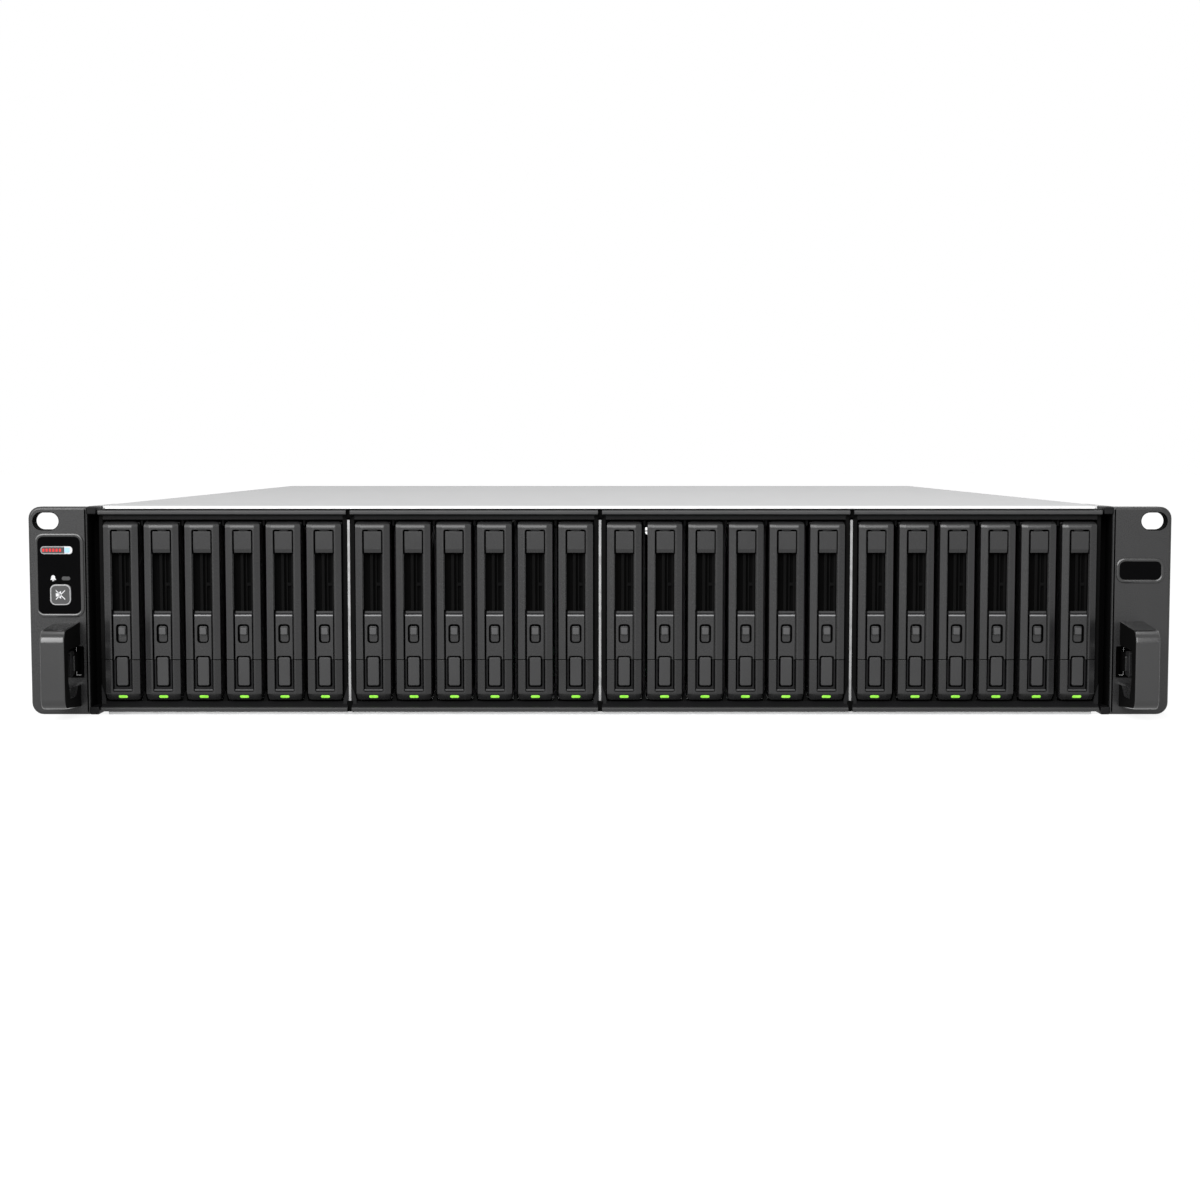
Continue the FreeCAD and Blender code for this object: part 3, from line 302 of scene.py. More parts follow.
def make_finishes(context):
    """All the finishes of the shelf, by name."""
    c = context.scene.shelf_colours
    rolled = {"along": (1, 0.06, 1), "gloss": 0.08}
    FINISHES.update(
        tray=moulded("tray_plastic", c.tray, 0.27, relief=0.12),
        lever=moulded("lever_plastic", c.lever, 0.25, relief=0.12, gloss=0.42),
        button=moulded("eject_button_plastic", toned(c.tray, 1.45), 0.42),
        slider=moulded("lock_slider_plastic", toned(c.tray, 3.4), 0.35),
        # pale finish: on the lever strip it is a painted highlight for the light on its top edge;
        # it also colours the sled's spring fingers
        edge=moulded("painted_highlight_and_pale_springs", toned(c.tray, 12.0), 0.3),
        bay_frame=moulded("bay_frame_plastic", c.bay_frame, 0.5, gloss=0.12),
        # lighter copies of the frame plastic for its front band and lower lip: painted light
        bay_band=moulded("bay_band_painted_highlight", (0.042, 0.042, 0.043), 0.35),
        bay_lip=moulded("bay_lip_painted_light", (0.028, 0.028, 0.0285), 0.4),
        # dividers between the trays in a dark sheet, far darker than the zinc
        coated=sheet_steel("dark_divider_sheet", (0.012, 0.012, 0.0125), 0.6, 0.2),
        # near black for vent ribs and the frames' posts, tongues and tabs: painted shade
        rib=moulded("painted_shade_rib_plastic", toned(c.cavity, 1.5), 0.7, gloss=0.03),
        # painted shade for pockets, vents, gaps and shaded faces
        cavity=moulded("painted_shade_plastic", c.cavity, 0.85, gloss=0.02),
        ear=moulded("ear_plastic", c.ear, 0.28, texture=0.4, relief=0.14, gloss=0.45),
        handle=moulded("handle_plastic", toned(c.ear, 0.7), 0.22, texture=0.4, relief=0.12,
                       gloss=0.65),
        latch=moulded("latch_coating", toned(c.ear, 0.8), 0.4),
        zinc=sheet_steel("zinc_sheet", c.zinc, 0.5, 0.3, **rolled),
        # the roof's front lip, 16.2 mm deep, is painted near white: a painted highlight on the zinc
        roof=painted_lip_highlight(sheet_steel("roof_sheet_with_painted_lip_highlight", c.zinc, 0.5, 0.3, **rolled), 16.2,
                     (0.82, 0.82, 0.82)),
        bright=sheet_steel("bright_edge", toned(c.zinc, 0.55), 0.35, 0.9, 4.0),
        module=sheet_steel("module_plate", c.module, 0.35, 0.9, 12.0, (0.08, 1, 1)),
        drive=sheet_steel("drive_casting", toned(c.zinc, 0.8), 0.38, 0.95, 20.0),
        window=glossy_window("window_gloss", (0.001, 0.001, 0.0012)),
        mute=moulded("mute_button_plastic", (0.06, 0.06, 0.061), 0.4),
        white=moulded("white_print", (0.72, 0.72, 0.73), 0.4, relief=0.05),
        dim=moulded("unlit_light", (0.05, 0.05, 0.051), 0.4),
        ring=moulded("pale_ring", (0.36, 0.36, 0.365), 0.35),
        red_light=lit("red_light", (0.6, 0.012, 0.012), (0.5, 0.01, 0.01), 0.25),
        # the ear plastic at a third of its tone, painted shade on the flange's inner wall
        recess=moulded("ear_plastic_painted_shade", toned(c.ear, 0.3), 0.6, gloss=0.06),
        light=lit("status_light", (0.4, 0.93, 0.11), tuple(c.status_light), 0.6),
        panel_light=lit("panel_light", (0.36, 0.6, 0.95), (0.32, 0.55, 0.9), 0.2),
        port_light=lit("port_light", (0.5, 1.0, 0.3), tuple(c.status_light), 0.6),
        board=circuit_board("backplane_board"),
        connector=moulded("connector_plastic", (0.012, 0.012, 0.013), 0.45),
        fan=moulded("fan_plastic", (0.02, 0.02, 0.021), 0.5),
        release=moulded("release_plastic", c.release, 0.42),
        screw=sheet_steel("screw_zinc", (0.5, 0.5, 0.51), 0.3, 1.0, 3.0),
        hole=moulded("hole_shadow", (0.004, 0.004, 0.004), 0.95, gloss=0.02),
    )


# ---- solids --------------------------------------------------------------------------------
def upright(u, v, level):
    """Outline facing the front: u is X, v is Z, level is Y."""
    return u, level, v


def lying(u, v, level):
    """Outline lying flat: u is X, v is Y, level is Z."""
    return u, v, level


def sideways(u, v, level):
    """Outline seen from the side: u is Y, v is Z, level is X."""
    return level, u, v


def rectangle(u, v, width, height):
    return [(u - width / 2, v - height / 2), (u + width / 2, v - height / 2),
            (u + width / 2, v + height / 2), (u - width / 2, v + height / 2)]


def span(u_low, u_high, v_low, v_high):
    return [(u_low, v_low), (u_high, v_low), (u_high, v_high), (u_low, v_high)]


def circle(u, v, radius, sides=32):
    return [(u + radius * math.cos(2 * math.pi * i / sides),
             v + radius * math.sin(2 * math.pi * i / sides)) for i in range(sides)]


def softened(outline, radius, steps=4):
    """The outline with rounded corners; radius is one number, or one for each corner."""
    radii = radius if isinstance(radius, (list, tuple)) else [radius] * len(outline)
    points = []
    for i, corner in enumerate(outline):
        here = Vector(corner)
        if radii[i] <= 0:
            points.append(corner)
            continue
        before = (Vector(outline[i - 1]) - here).normalized()
        after = (Vector(outline[(i + 1) % len(outline)]) - here).normalized()
        half = before.angle(after) / 2
        centre = here + (before + after).normalized() * radii[i] / math.sin(half)
        start = here + before * radii[i] / math.tan(half) - centre
        end = here + after * radii[i] / math.tan(half) - centre
        sweep = start.angle(end)
        for step in range(steps + 1):
            t = step / steps
            ray = start * math.sin((1 - t) * sweep) + end * math.sin(t * sweep)
            points.append(tuple(centre + ray / math.sin(sweep)))
    return points


def arched(u_low, u_high, v_low, v_high):
    """A rectangle with square corners below and rounded ones above."""
    return softened(span(u_low, u_high, v_low, v_high), [0, 0, 0.8, 0.8])


def inset(outline, distance):
    """The outline moved inwards, or as it is for no distance."""
    if abs(distance) < 1e-6:
        return outline
    n = len(outline)
    area = sum(outline[i - 1][0] * outline[i][1] - outline[i][0] * outline[i - 1][1]
               for i in range(n))
    turn = 1 if area > 0 else -1
    moved = []
    for i in range(n):
        here = Vector(outline[i])
        a = (here - Vector(outline[i - 1])).normalized()
        b = (Vector(outline[(i + 1) % n]) - here).normalized()
        inward_a, inward_b = Vector((-a.y, a.x)) * turn, Vector((-b.y, b.x)) * turn
        lean = max(0.25, 1 + inward_a.dot(inward_b))
        moved.append(tuple(here + (inward_a + inward_b) * distance / lean))
    return moved


class Shape:
    """Closed solids of one piece, in millimetres, with Y from the front of the ears."""

    def __init__(self):
        self.mesh = bmesh.new()
        self.finishes = []

    def loft(self, loops, finish, ring=False):
        """A solid through loops of as many points each, or a closed ring of them."""
        if finish not in self.finishes:
            self.finishes.append(finish)
        rows = [[self.mesh.verts.new((x * MM, y * MM + FRONT_Y, z * MM)) for x, y, z in loop]
                for loop in loops]
        pairs = list(zip(rows, rows[1:])) + ([(rows[-1], rows[0])] if ring else [])
        faces = [self.mesh.faces.new((lower[i - 1], lower[i], upper[i], upper[i - 1]))
                 for lower, upper in pairs for i in range(len(lower))]
        if not ring:
            faces += [self.mesh.faces.new(rows[0]), self.mesh.faces.new(rows[-1][::-1])]
        for face in faces:
            face.material_index = self.finishes.index(finish)
        verts = [v for row in rows for v in row]
        bmesh.ops.remove_doubles(self.mesh, verts=verts, dist=1e-7)
        bmesh.ops.recalc_face_normals(self.mesh, faces=[f for f in faces if f.is_valid])
        return self

    def plate(self, outline, front, back, finish, edge=0.0, lay=upright, both=False, steps=2):
        """A flat piece between two levels, with rounded edges at its front, or at both faces."""
        turn = 1 if back > front else -1
        rows = [(front, 0)]
        if edge:
            rows = [(front + turn * edge * (1 - math.cos(a)), edge * (1 - math.sin(a)))
                    for a in (math.pi / 2 * s / steps for s in range(steps + 1))]
        if both and edge:
            rows += [(back - (level - front), away) for level, away in reversed(rows)]
        else:
            rows.append((back, 0))
        loops = [[lay(u, v, level) for u, v in inset(outline, away)] for level, away in rows]
        return self.loft(loops, finish)

    def frame(self, outline, width, front, back, finish, lay=upright, steps=5):
        """A bead that runs round inside an outline, with a rounded crest."""
        rows = [(width * (1 - math.cos(a)) / 2, back + (front - back) * math.sin(a) ** 0.6)
                for a in (math.pi * s / steps for s in range(steps + 1))]
        loops = [[lay(u, v, level) for u, v in inset(outline, away)] for away, level in rows]
        return self.loft(loops, finish, ring=True)

    def to_mesh(self):
        data = bpy.data.meshes.new("shape")
        self.mesh.to_mesh(data)
        self.mesh.free()
        for finish in self.finishes:
            data.materials.append(FINISHES[finish])
        return data


def as_mesh(part):
    """The mesh of a shape, or the mesh that it already is."""
    return part.to_mesh() if isinstance(part, Shape) else part


def plain_mesh(holder):
    """The holder's shape with its modifiers, as a mesh of its own; the holder goes."""
    graph = bpy.context.evaluated_depsgraph_get()
    graph.update()
    data = bpy.data.meshes.new_from_object(holder.evaluated_get(graph), depsgraph=graph)
    bpy.data.objects.remove(holder)
    return data


def holder_of(mesh):
    holder = bpy.data.objects.new("holder", mesh)
    bpy.context.scene.collection.objects.link(holder)
    return holder


def cut_from(part, cutters):
    """The part less the cutters, whose finish shows on the cut faces."""
    holder = holder_of(as_mesh(part))
    tools = [holder_of(as_mesh(cutter)) for cutter in cutters]
    for tool in tools:
        cut = holder.modifiers.new("cut", "BOOLEAN")
        cut.operation, cut.solver, cut.material_mode = "DIFFERENCE", "EXACT", "TRANSFER"
        cut.object = tool
    data = plain_mesh(holder)
    for tool in tools:
        bpy.data.objects.remove(tool)
    return data


def joined_mesh(name, parts):
    """One mesh from several parts, with their finishes kept."""
    whole = bmesh.new()
    finishes = []
    for mesh in map(as_mesh, parts):
        for finish in mesh.materials:
            if finish not in finishes:
                finishes.append(finish)
        places = [finishes.index(finish) for finish in mesh.materials]
        start = len(whole.faces)
        whole.from_mesh(mesh)
        whole.faces.ensure_lookup_table()
        for face in whole.faces[start:]:
            face.material_index = places[face.material_index]
    data = bpy.data.meshes.new(name)
    whole.to_mesh(data)
    whole.free()
    for finish in finishes:
        data.materials.append(finish)
    return data


def shaded(part, angle=38):
    """Smooth shading that keeps edges sharper than the angle, and flat faces flat."""
    mesh = as_mesh(part)
    mesh.shade_smooth()
    mesh.set_sharp_from_angle(angle=math.radians(angle))
    holder = holder_of(mesh)
    normals = holder.modifiers.new("normals", "WEIGHTED_NORMAL")
    normals.keep_sharp, normals.weight = True, 50
    return plain_mesh(holder)


def fit(name, mesh, body, nodes=(), moved=0.0):
    """Puts a finished piece on its body, in place of its nodes."""
    if moved:
        mesh = mesh.copy()
        mesh.transform(Matrix.Translation((moved * MM, 0, 0)))
    mesh.name = name
    piece = bpy.data.objects.new(name, mesh)
    bpy.context.scene.collection.objects.link(piece)
    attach(piece, body)
    if nodes:
        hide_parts(*nodes)
    return piece


def dress_node(name, finish):
    """Gives a node of the frame its finish."""
    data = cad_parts[name].data
    data.materials.clear()
    data.materials.append(FINISHES[finish])


def node_pieces(node, choose):
    """A merged copy of a node, with a finish for each of its solids by its box."""
    solid = bmesh.new()
    solid.from_mesh(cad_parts[node].data)
    bmesh.ops.remove_doubles(solid, verts=solid.verts, dist=1e-6)
    finishes, seen = [], set()
    for start in list(solid.faces):
        if start in seen:
            continue
        island, edge = {start}, [start]
        while edge:
            for near in (f for e in edge.pop().edges for f in e.link_faces):
                if near not in island:
                    island.add(near)
                    edge.append(near)
        seen |= island
        corners = [v.co for f in island for v in f.verts]
        low = [min(c[i] for c in corners) / MM for i in range(3)]
        high = [max(c[i] for c in corners) / MM for i in range(3)]
        low[1], high[1] = low[1] - FRONT_Y / MM, high[1] - FRONT_Y / MM
        finish = choose(low, high)
        if finish not in finishes:
            finishes.append(finish)
        for face in island:
            face.material_index = finishes.index(finish)
    bmesh.ops.dissolve_limit(solid, angle_limit=math.radians(0.5), verts=solid.verts,
                             edges=solid.edges, delimit={"MATERIAL"})
    data = bpy.data.meshes.new(node)
    solid.to_mesh(data)
    solid.free()
    for finish in finishes:
        data.materials.append(FINISHES[finish])
    return data


# ---- repeated small forms ------------------------------------------------------------------
def new_tree(name, *inputs):
    """An empty tree with named inputs, and those inputs as outputs inside it."""
    tree = bpy.data.node_groups.new(name, "GeometryNodeTree")
    tree.interface.new_socket("Geometry", in_out="OUTPUT", socket_type="NodeSocketGeometry")
    for label, kind in inputs:
        tree.interface.new_socket(label, in_out="INPUT", socket_type="NodeSocket" + kind)
    return tree, tree.nodes.new("NodeGroupInput").outputs


def grid_tree():
    """Round studs or holes on a grid in an upright wall."""
    tree, given = new_tree(
        "studs_on_grid", ("Columns", "Int"), ("Rows", "Int"), ("Sides", "Int"),
        ("Column Step", "Float"), ("Row Step", "Float"), ("Radius", "Float"), ("Depth", "Float"),
        ("Place", "Vector"), ("Finish", "Material"))
    width, height = [
        maths(tree, "MULTIPLY", maths(tree, "SUBTRACT", given[count], 1.0), given[step])
        for count, step in (("Columns", "Column Step"), ("Rows", "Row Step"))]
    grid = add_node(tree, "GeometryNodeMeshGrid", {
        "Size X": width, "Size Y": height, "Vertices X": given["Columns"],
        "Vertices Y": given["Rows"]})
    stood = Euler((math.pi / 2, 0, 0))
    wall = add_node(tree, "GeometryNodeTransform", {
        "Geometry": grid.outputs["Mesh"], "Translation": given["Place"], "Rotation": stood})
    stud = add_node(tree, "GeometryNodeMeshCylinder", {
        "Vertices": given["Sides"], "Radius": given["Radius"], "Depth": given["Depth"]})
    turned = add_node(tree, "GeometryNodeTransform", {
        "Geometry": stud.outputs["Mesh"], "Rotation": stood})
    return end_tree(tree, given, wall.outputs["Geometry"], turned.outputs["Geometry"])


def slat_tree():
    """Straight bars set in a row."""
    tree, given = new_tree("slats_in_row", ("Count", "Int"), ("Start", "Vector"),
                           ("Step", "Vector"), ("Size", "Vector"), ("Finish", "Material"))
    row = add_node(tree, "GeometryNodeMeshLine", {
        "Count": given["Count"], "Start Location": given["Start"], "Offset": given["Step"]})
    slat = add_node(tree, "GeometryNodeMeshCube", {"Size": given["Size"]})
    return end_tree(tree, given, row.outputs["Mesh"], slat.outputs["Mesh"])


def end_tree(tree, given, points, shape):
    """Sets the shape on every point and gives all of it the finish."""
    placed = add_node(tree, "GeometryNodeInstanceOnPoints", {"Points": points, "Instance": shape})
    real = add_node(tree, "GeometryNodeRealizeInstances", {"Geometry": placed.outputs["Instances"]})
    painted = add_node(tree, "GeometryNodeSetMaterial", {"Geometry": real.outputs["Geometry"],
                                                         "Material": given["Finish"]})
    out = tree.nodes.new("NodeGroupOutput")
    tree.links.new(painted.outputs["Geometry"], out.inputs["Geometry"])
    return tree


def grown(tree_name, maker, **inputs):
    """Runs a tree with its named inputs and returns the mesh it makes."""
    tree = bpy.data.node_groups.get(tree_name) or maker()
    holder = holder_of(bpy.data.meshes.new(tree_name))
    modifier = holder.modifiers.new("shape", "NODES")
    modifier.node_group = tree
    names = {item.name: item.identifier for item in tree.interface.items_tree
             if item.item_type == "SOCKET" and item.in_out == "INPUT"}
    for key, value in inputs.items():
        modifier[names[key.replace("_", " ")]] = value
    return plain_mesh(holder)


def studs(columns, rows, step_x, step_z, radius, depth, x, y, z, finish, sides=12):
    """Round studs or hole shadows on a wall, centred on a point."""
    return grown("studs_on_grid", grid_tree, Columns=columns, Rows=rows, Sides=sides,
                 Column_Step=step_x * MM, Row_Step=step_z * MM, Radius=radius * MM,
                 Depth=depth * MM, Place=(x * MM, y * MM + FRONT_Y, z * MM),
                 Finish=FINISHES[finish])


def slats(count, start, step, size, finish):
    """Straight bars in a row, from a first centre."""
    x, y, z = start
    return grown("slats_in_row", slat_tree, Count=count, Finish=FINISHES[finish],
                 Start=(x * MM, y * MM + FRONT_Y, z * MM), Step=tuple(s * MM for s in step),
                 Size=tuple(s * MM for s in size))


# ---- tray ----------------------------------------------------------------------------------
CORNER_DROPS = ((7.25, 1.2), (7.12, 0.72), (6.88, 0.36), (6.5, 0.12), (6.05, 0.0))
BEVEL_WIDTH, BEVEL_DEPTH = 2.4, 0.9
TRAY_DEPTH = 12                         # moulded front of a tray, front to back
CHIN_Z, CHIN_DEPTH = 8.9, 2.4           # slope below the tray front
LIGHT_Z = 7.55
RECESS_HALF, RECESS_TOP = 4.25, 78.3    # recess down the front of the lever
VENT_LOW, VENT_HIGH = 43.8, 68.2        # ribbed vent in that recess
DRIVE_LOW, DRIVE_HIGH, DRIVE_LENGTH = 8.95, 78.8, 100.2


def bevelled_bar(shape, profile, finish, top=math.inf, bottom=-math.inf):
    """A tray-wide bar from a (y, z) profile, with bevelled sides and rounded outer corners."""
    bevel_start = HALF_TRAY - BEVEL_WIDTH
    half = [(x, drop, max(0.0, (x - bevel_start) / BEVEL_WIDTH * BEVEL_DEPTH))
            for x, drop in CORNER_DROPS]
    half += [(bevel_start + 0.12, 0.0, 0.03), (bevel_start - 0.12, 0.0, 0.0)]
    stations = [(-x, drop, clip) for x, drop, clip in half] + half[::-1]
    depth = max(y for y, z in profile)
    loops = [[(x, clip + y * (depth - clip) / depth, min(max(z, bottom + drop), top - drop))
              for y, z in profile] for x, drop, clip in stations]
    shape.loft(loops, finish)


def pocket(outline, depth, finish="cavity", flare=0.2, start=0.0):
    """A cutter from the front, flared at its mouth; its finish goes on the cut faces, by default
    the near-black one that paints shade into the pocket.
    """
    shape = Shape()
    wide = inset(outline, -flare)
    loops = [[upright(u, v, level) for u, v in line]
             for level, line in ((start - 3, wide), (start, wide), (start + flare, outline),
                                 (start + depth, outline))]
    return shape.loft(loops, finish)


def tray_front_parts():
    """Moulded front of a tray with the pocket of its eject button and its light."""
    block_top = SEAM - 0.15
    front = Shape()
    outline = softened([(CHIN_DEPTH, TRAY_LOW), (0, CHIN_Z), (0, block_top),
                        (TRAY_DEPTH, block_top), (TRAY_DEPTH, TRAY_LOW)], [0.5, 0.7, 0.15, 0, 0], 3)
    bevelled_bar(front, outline, "tray", bottom=TRAY_LOW)
    # the button pocket's mouth takes the dark frame plastic, its depths and the slits beside it the
    # near-black finish: painted shade
    cutters = [pocket(softened(span(-4.1, 4.1, 9.75, 40), 0.7), 1.25, "bay_frame", 0.15),
               pocket(softened(span(-3.0, 3.0, 11.7, 40), 0.8), 6.35, "cavity", 0, 1.2)]
    cutters += [pocket(span(low, low + 0.45, 10.4, 40), 1.4, "cavity", 0, 1.2)
                for low in (-4.05, 3.6)]
    block = cut_from(front, cutters)
    rest = Shape()
    for x_low, x_high, z_low, z_high in (
            (-HALF_TRAY, -RECESS_HALF, block_top, TRAY_HIGH - 0.3),
            (RECESS_HALF, HALF_TRAY, block_top, TRAY_HIGH - 0.3),
            (-RECESS_HALF, RECESS_HALF, 68.4, TRAY_HIGH - 0.3),
            (-RECESS_HALF, RECESS_HALF, block_top, 43.4)):
        rest.plate(span(x_low, x_high, z_low, z_high), 5.6, TRAY_DEPTH, "tray", 0.2)
    rest.plate(span(-1.9, 1.9, 77.0, 80.7), 2.9, 5.6, "tray", 0.3)
    rest.plate(span(-3.9, 3.9, 9.85, 10.75), 0.45, 1.3, "button", 0.25)
    chin = CHIN_Z - TRAY_LOW
    surface, lean = (CHIN_Z - LIGHT_Z) / chin * CHIN_DEPTH, CHIN_DEPTH / chin
    light = softened(rectangle(0, LIGHT_Z, 3.8, 1.2), 0.59, 4)
    rest.loft([[(u, surface - (v - LIGHT_Z) * lean + level, v) for u, v in inset(light, away)]
               for level, away in ((0.4, 0.0), (-0.08, 0.0), (-0.18, 0.15))], "light")
    return [block, rest]


def eject_button_shape():
    """Push button with a soft edge, standing in its pocket."""
    button = Shape()
    button.plate(softened(span(-2.4, 2.4, 12.35, 24.35), 0.75), 0.08, 6, "button", 0.35)
    # near-black band under the button, painted shade in its pocket
    button.plate(softened(span(-2.45, 2.45, 11.95, 12.3), 0.1, 2), 1.6, 6, "cavity")
    return button


def sled_shape():
    """Rails, rear bar and spring fingers that carry the drive."""
    end = corners("drive_tray_01")[1].y
    rail = 2.3
    sled = Shape()
    for z in (DRIVE_LOW - rail, DRIVE_HIGH):
        sled.plate(arched(-4.5, 4.5, TRAY_DEPTH, end), z, z + rail, "tray", 0.25, lying, True)
    sled.plate(span(-4.5, -3.8, DRIVE_LOW, DRIVE_HIGH), end - 8, end, "tray", 0.15)
    for z in (DRIVE_LOW - rail, DRIVE_HIGH + 2.25):
        for y in (24, 62, 100):
            sled.plate(softened(rectangle(0, y, 3.0, 9.0), 1.2), z, z + 0.05, "edge", lay=lying)
    return sled


def drive_shape():
    """2.5-inch drive: casting, lid and spindle disc."""
    end = corners("drive_tray_01")[1].y
    start = end - DRIVE_LENGTH
    lid = span(start + 5, end - 14, DRIVE_LOW + 4, DRIVE_HIGH - 4)
    body = Shape()
    for outline, front, back, finish, edge in (
            (softened(span(start, end, DRIVE_LOW, DRIVE_HIGH), 1.6), -3.5, 3.3, "drive", 0.3),
            (softened(lid, 5.0), 3.4, 3.2, "module", 0.1),
            (circle(start + 36, (DRIVE_LOW + DRIVE_HIGH) / 2, 23, 36), 3.5, 3.3, "drive", 0.08)):
        body.plate(outline, front, back, finish, edge, sideways)
    return body


def tray_mesh():
    meshes = tray_front_parts() + [eject_button_shape(), sled_shape(), drive_shape()]
    return shaded(joined_mesh("drive_tray", meshes))


# ---- lever ---------------------------------------------------------------------------------
def lever_mesh(sizes):
    """Lever frame with pad, deep ribbed vent, strip plate, slider pocket and lock slider."""
    low = SEAM + 0.15
    below = low - 8
    pin_z = TRAY_HIGH - NOSE
    arc = [(NOSE - NOSE * math.cos(a), pin_z + NOSE * math.sin(a))
           for a in (math.pi * s / 12 for s in range(13))]
    body = Shape()
    bevelled_bar(body, [(0.12, low), (0, low + 0.12)] + arc + [(2 * NOSE, low)], "lever",
                 top=TRAY_HIGH)
    slot = softened(span(-2.35, 2.35, 30.5, 38.3), 1.3)
    vent = softened(span(-4.0, 4.0, 43.9, VENT_HIGH), 0.5)
    hinge = Shape().plate(span(-2.2, 2.2, 75.9, 90), 2.35, 9, "cavity")
    # the pockets and the hinge cut are lined with the near-black finish, painted shade; the recess
    # keeps the lever plastic
    shell = cut_from(body, [
        pocket(arched(-RECESS_HALF, RECESS_HALF, below, RECESS_TOP), 1.4, "lever", 0.15),
        pocket(arched(-RECESS_HALF, 4.2, 68.0, RECESS_TOP), 2.4, "cavity", 0, 1.3),
        pocket(span(-RECESS_HALF, -3.3, below, 44.5), 2.4, "cavity", 0, 1.3),
        pocket(span(3.5, 3.95, below, 44.5), 1.6, "cavity", 0, 1.3),
        pocket(slot, 1.3, "cavity", 0, 1.2),
        pocket(vent, 4.2, "cavity", 0.1, 1.3),
        pocket(arched(-3.0, 3.0, below, 24.95), 8, "cavity", 0.1, 1.3),
        hinge])

    face = 0.28
    strip = Shape()
    strip.plate(softened(span(face, 3.2, low, 42.5), [0.1, 0, 0, 0.2], 3), -3.5, 3.6, "lever", 0.12,
                sideways, True)
    # the slope under the strip takes the dark frame plastic, painted shade
    strip.plate([(0.7, 42.4), (2.7, 43.9), (3.2, 43.9), (3.2, 42.4)], -3.9, 3.9, "bay_frame",
                lay=sideways)
    plate = cut_from(strip, [
        pocket(slot, 2.1, "cavity", 0.12, face),
        pocket(arched(-2.95, 2.95, below, 24.9), 3, "cavity", 0.1, face)])

    parts = Shape()
    # painted highlight: a thin pale bar for the light caught on the strip's top edge
    parts.plate(softened(span(-3.45, 3.55, 41.8, 42.4), 0.12, 2), face - 0.04, 1.3, "edge", 0.08)
    gap = sizes.pad_gap / MM
    pad_top, pad_low = RECESS_TOP - gap, 68.45
    pad = [(3.7, pad_top), (0.12, pad_top), (0.12, 70.0), (0.85, pad_low), (3.7, pad_low)]
    parts.plate(softened(pad, [0, 0.2, 1.0, 0.5, 0], 4), gap - RECESS_HALF, RECESS_HALF - 0.5,
                "lever", 0.12, sideways, True)
    for outline, front, back, finish, edge in (
            # a near-black sheet at the back of the vent and near-black ribs in it: painted shade
            (span(-4.1, 4.1, 43.6, 68.3), 4.6, 5.0, "cavity", 0),
            (span(-1.3, 0.1, VENT_LOW, VENT_HIGH), 2.9, 4.8, "rib", 0.3),
            (span(1.0, 1.5, VENT_LOW, VENT_HIGH), 3.6, 4.8, "rib", 0.1),
            (span(2.9, 3.95, VENT_LOW, VENT_HIGH), 3.6, 4.8, "rib", 0.2),
            (span(1.2, 3.0, 54.4, 55.8), 3.6, 4.8, "rib", 0.2),
            (softened(span(-1.75, 1.75, 30.75, 37.55), 0.9), 1.75, 2.4, "lever", 0.2),
            (softened(span(-1.75, 1.75, 33.9, 37.55), [0.3, 0.3, 0.9, 0.9]), 0.95, 2.0, "tray",
             0.3),
            (softened(span(-1.35, 1.35, 34.0, 36.9), 0.35), 0.12, 1.2, "slider", 0.2)):
        parts.plate(outline, front, back, finish, edge)
    parts.plate(circle(NOSE, pin_z, 0.85, 20), -2.25, 2.25, "module", lay=sideways)
    return shaded(joined_mesh("tray_lever", [shell, plate, parts]))


# ---- bay frames ----------------------------------------------------------------------------


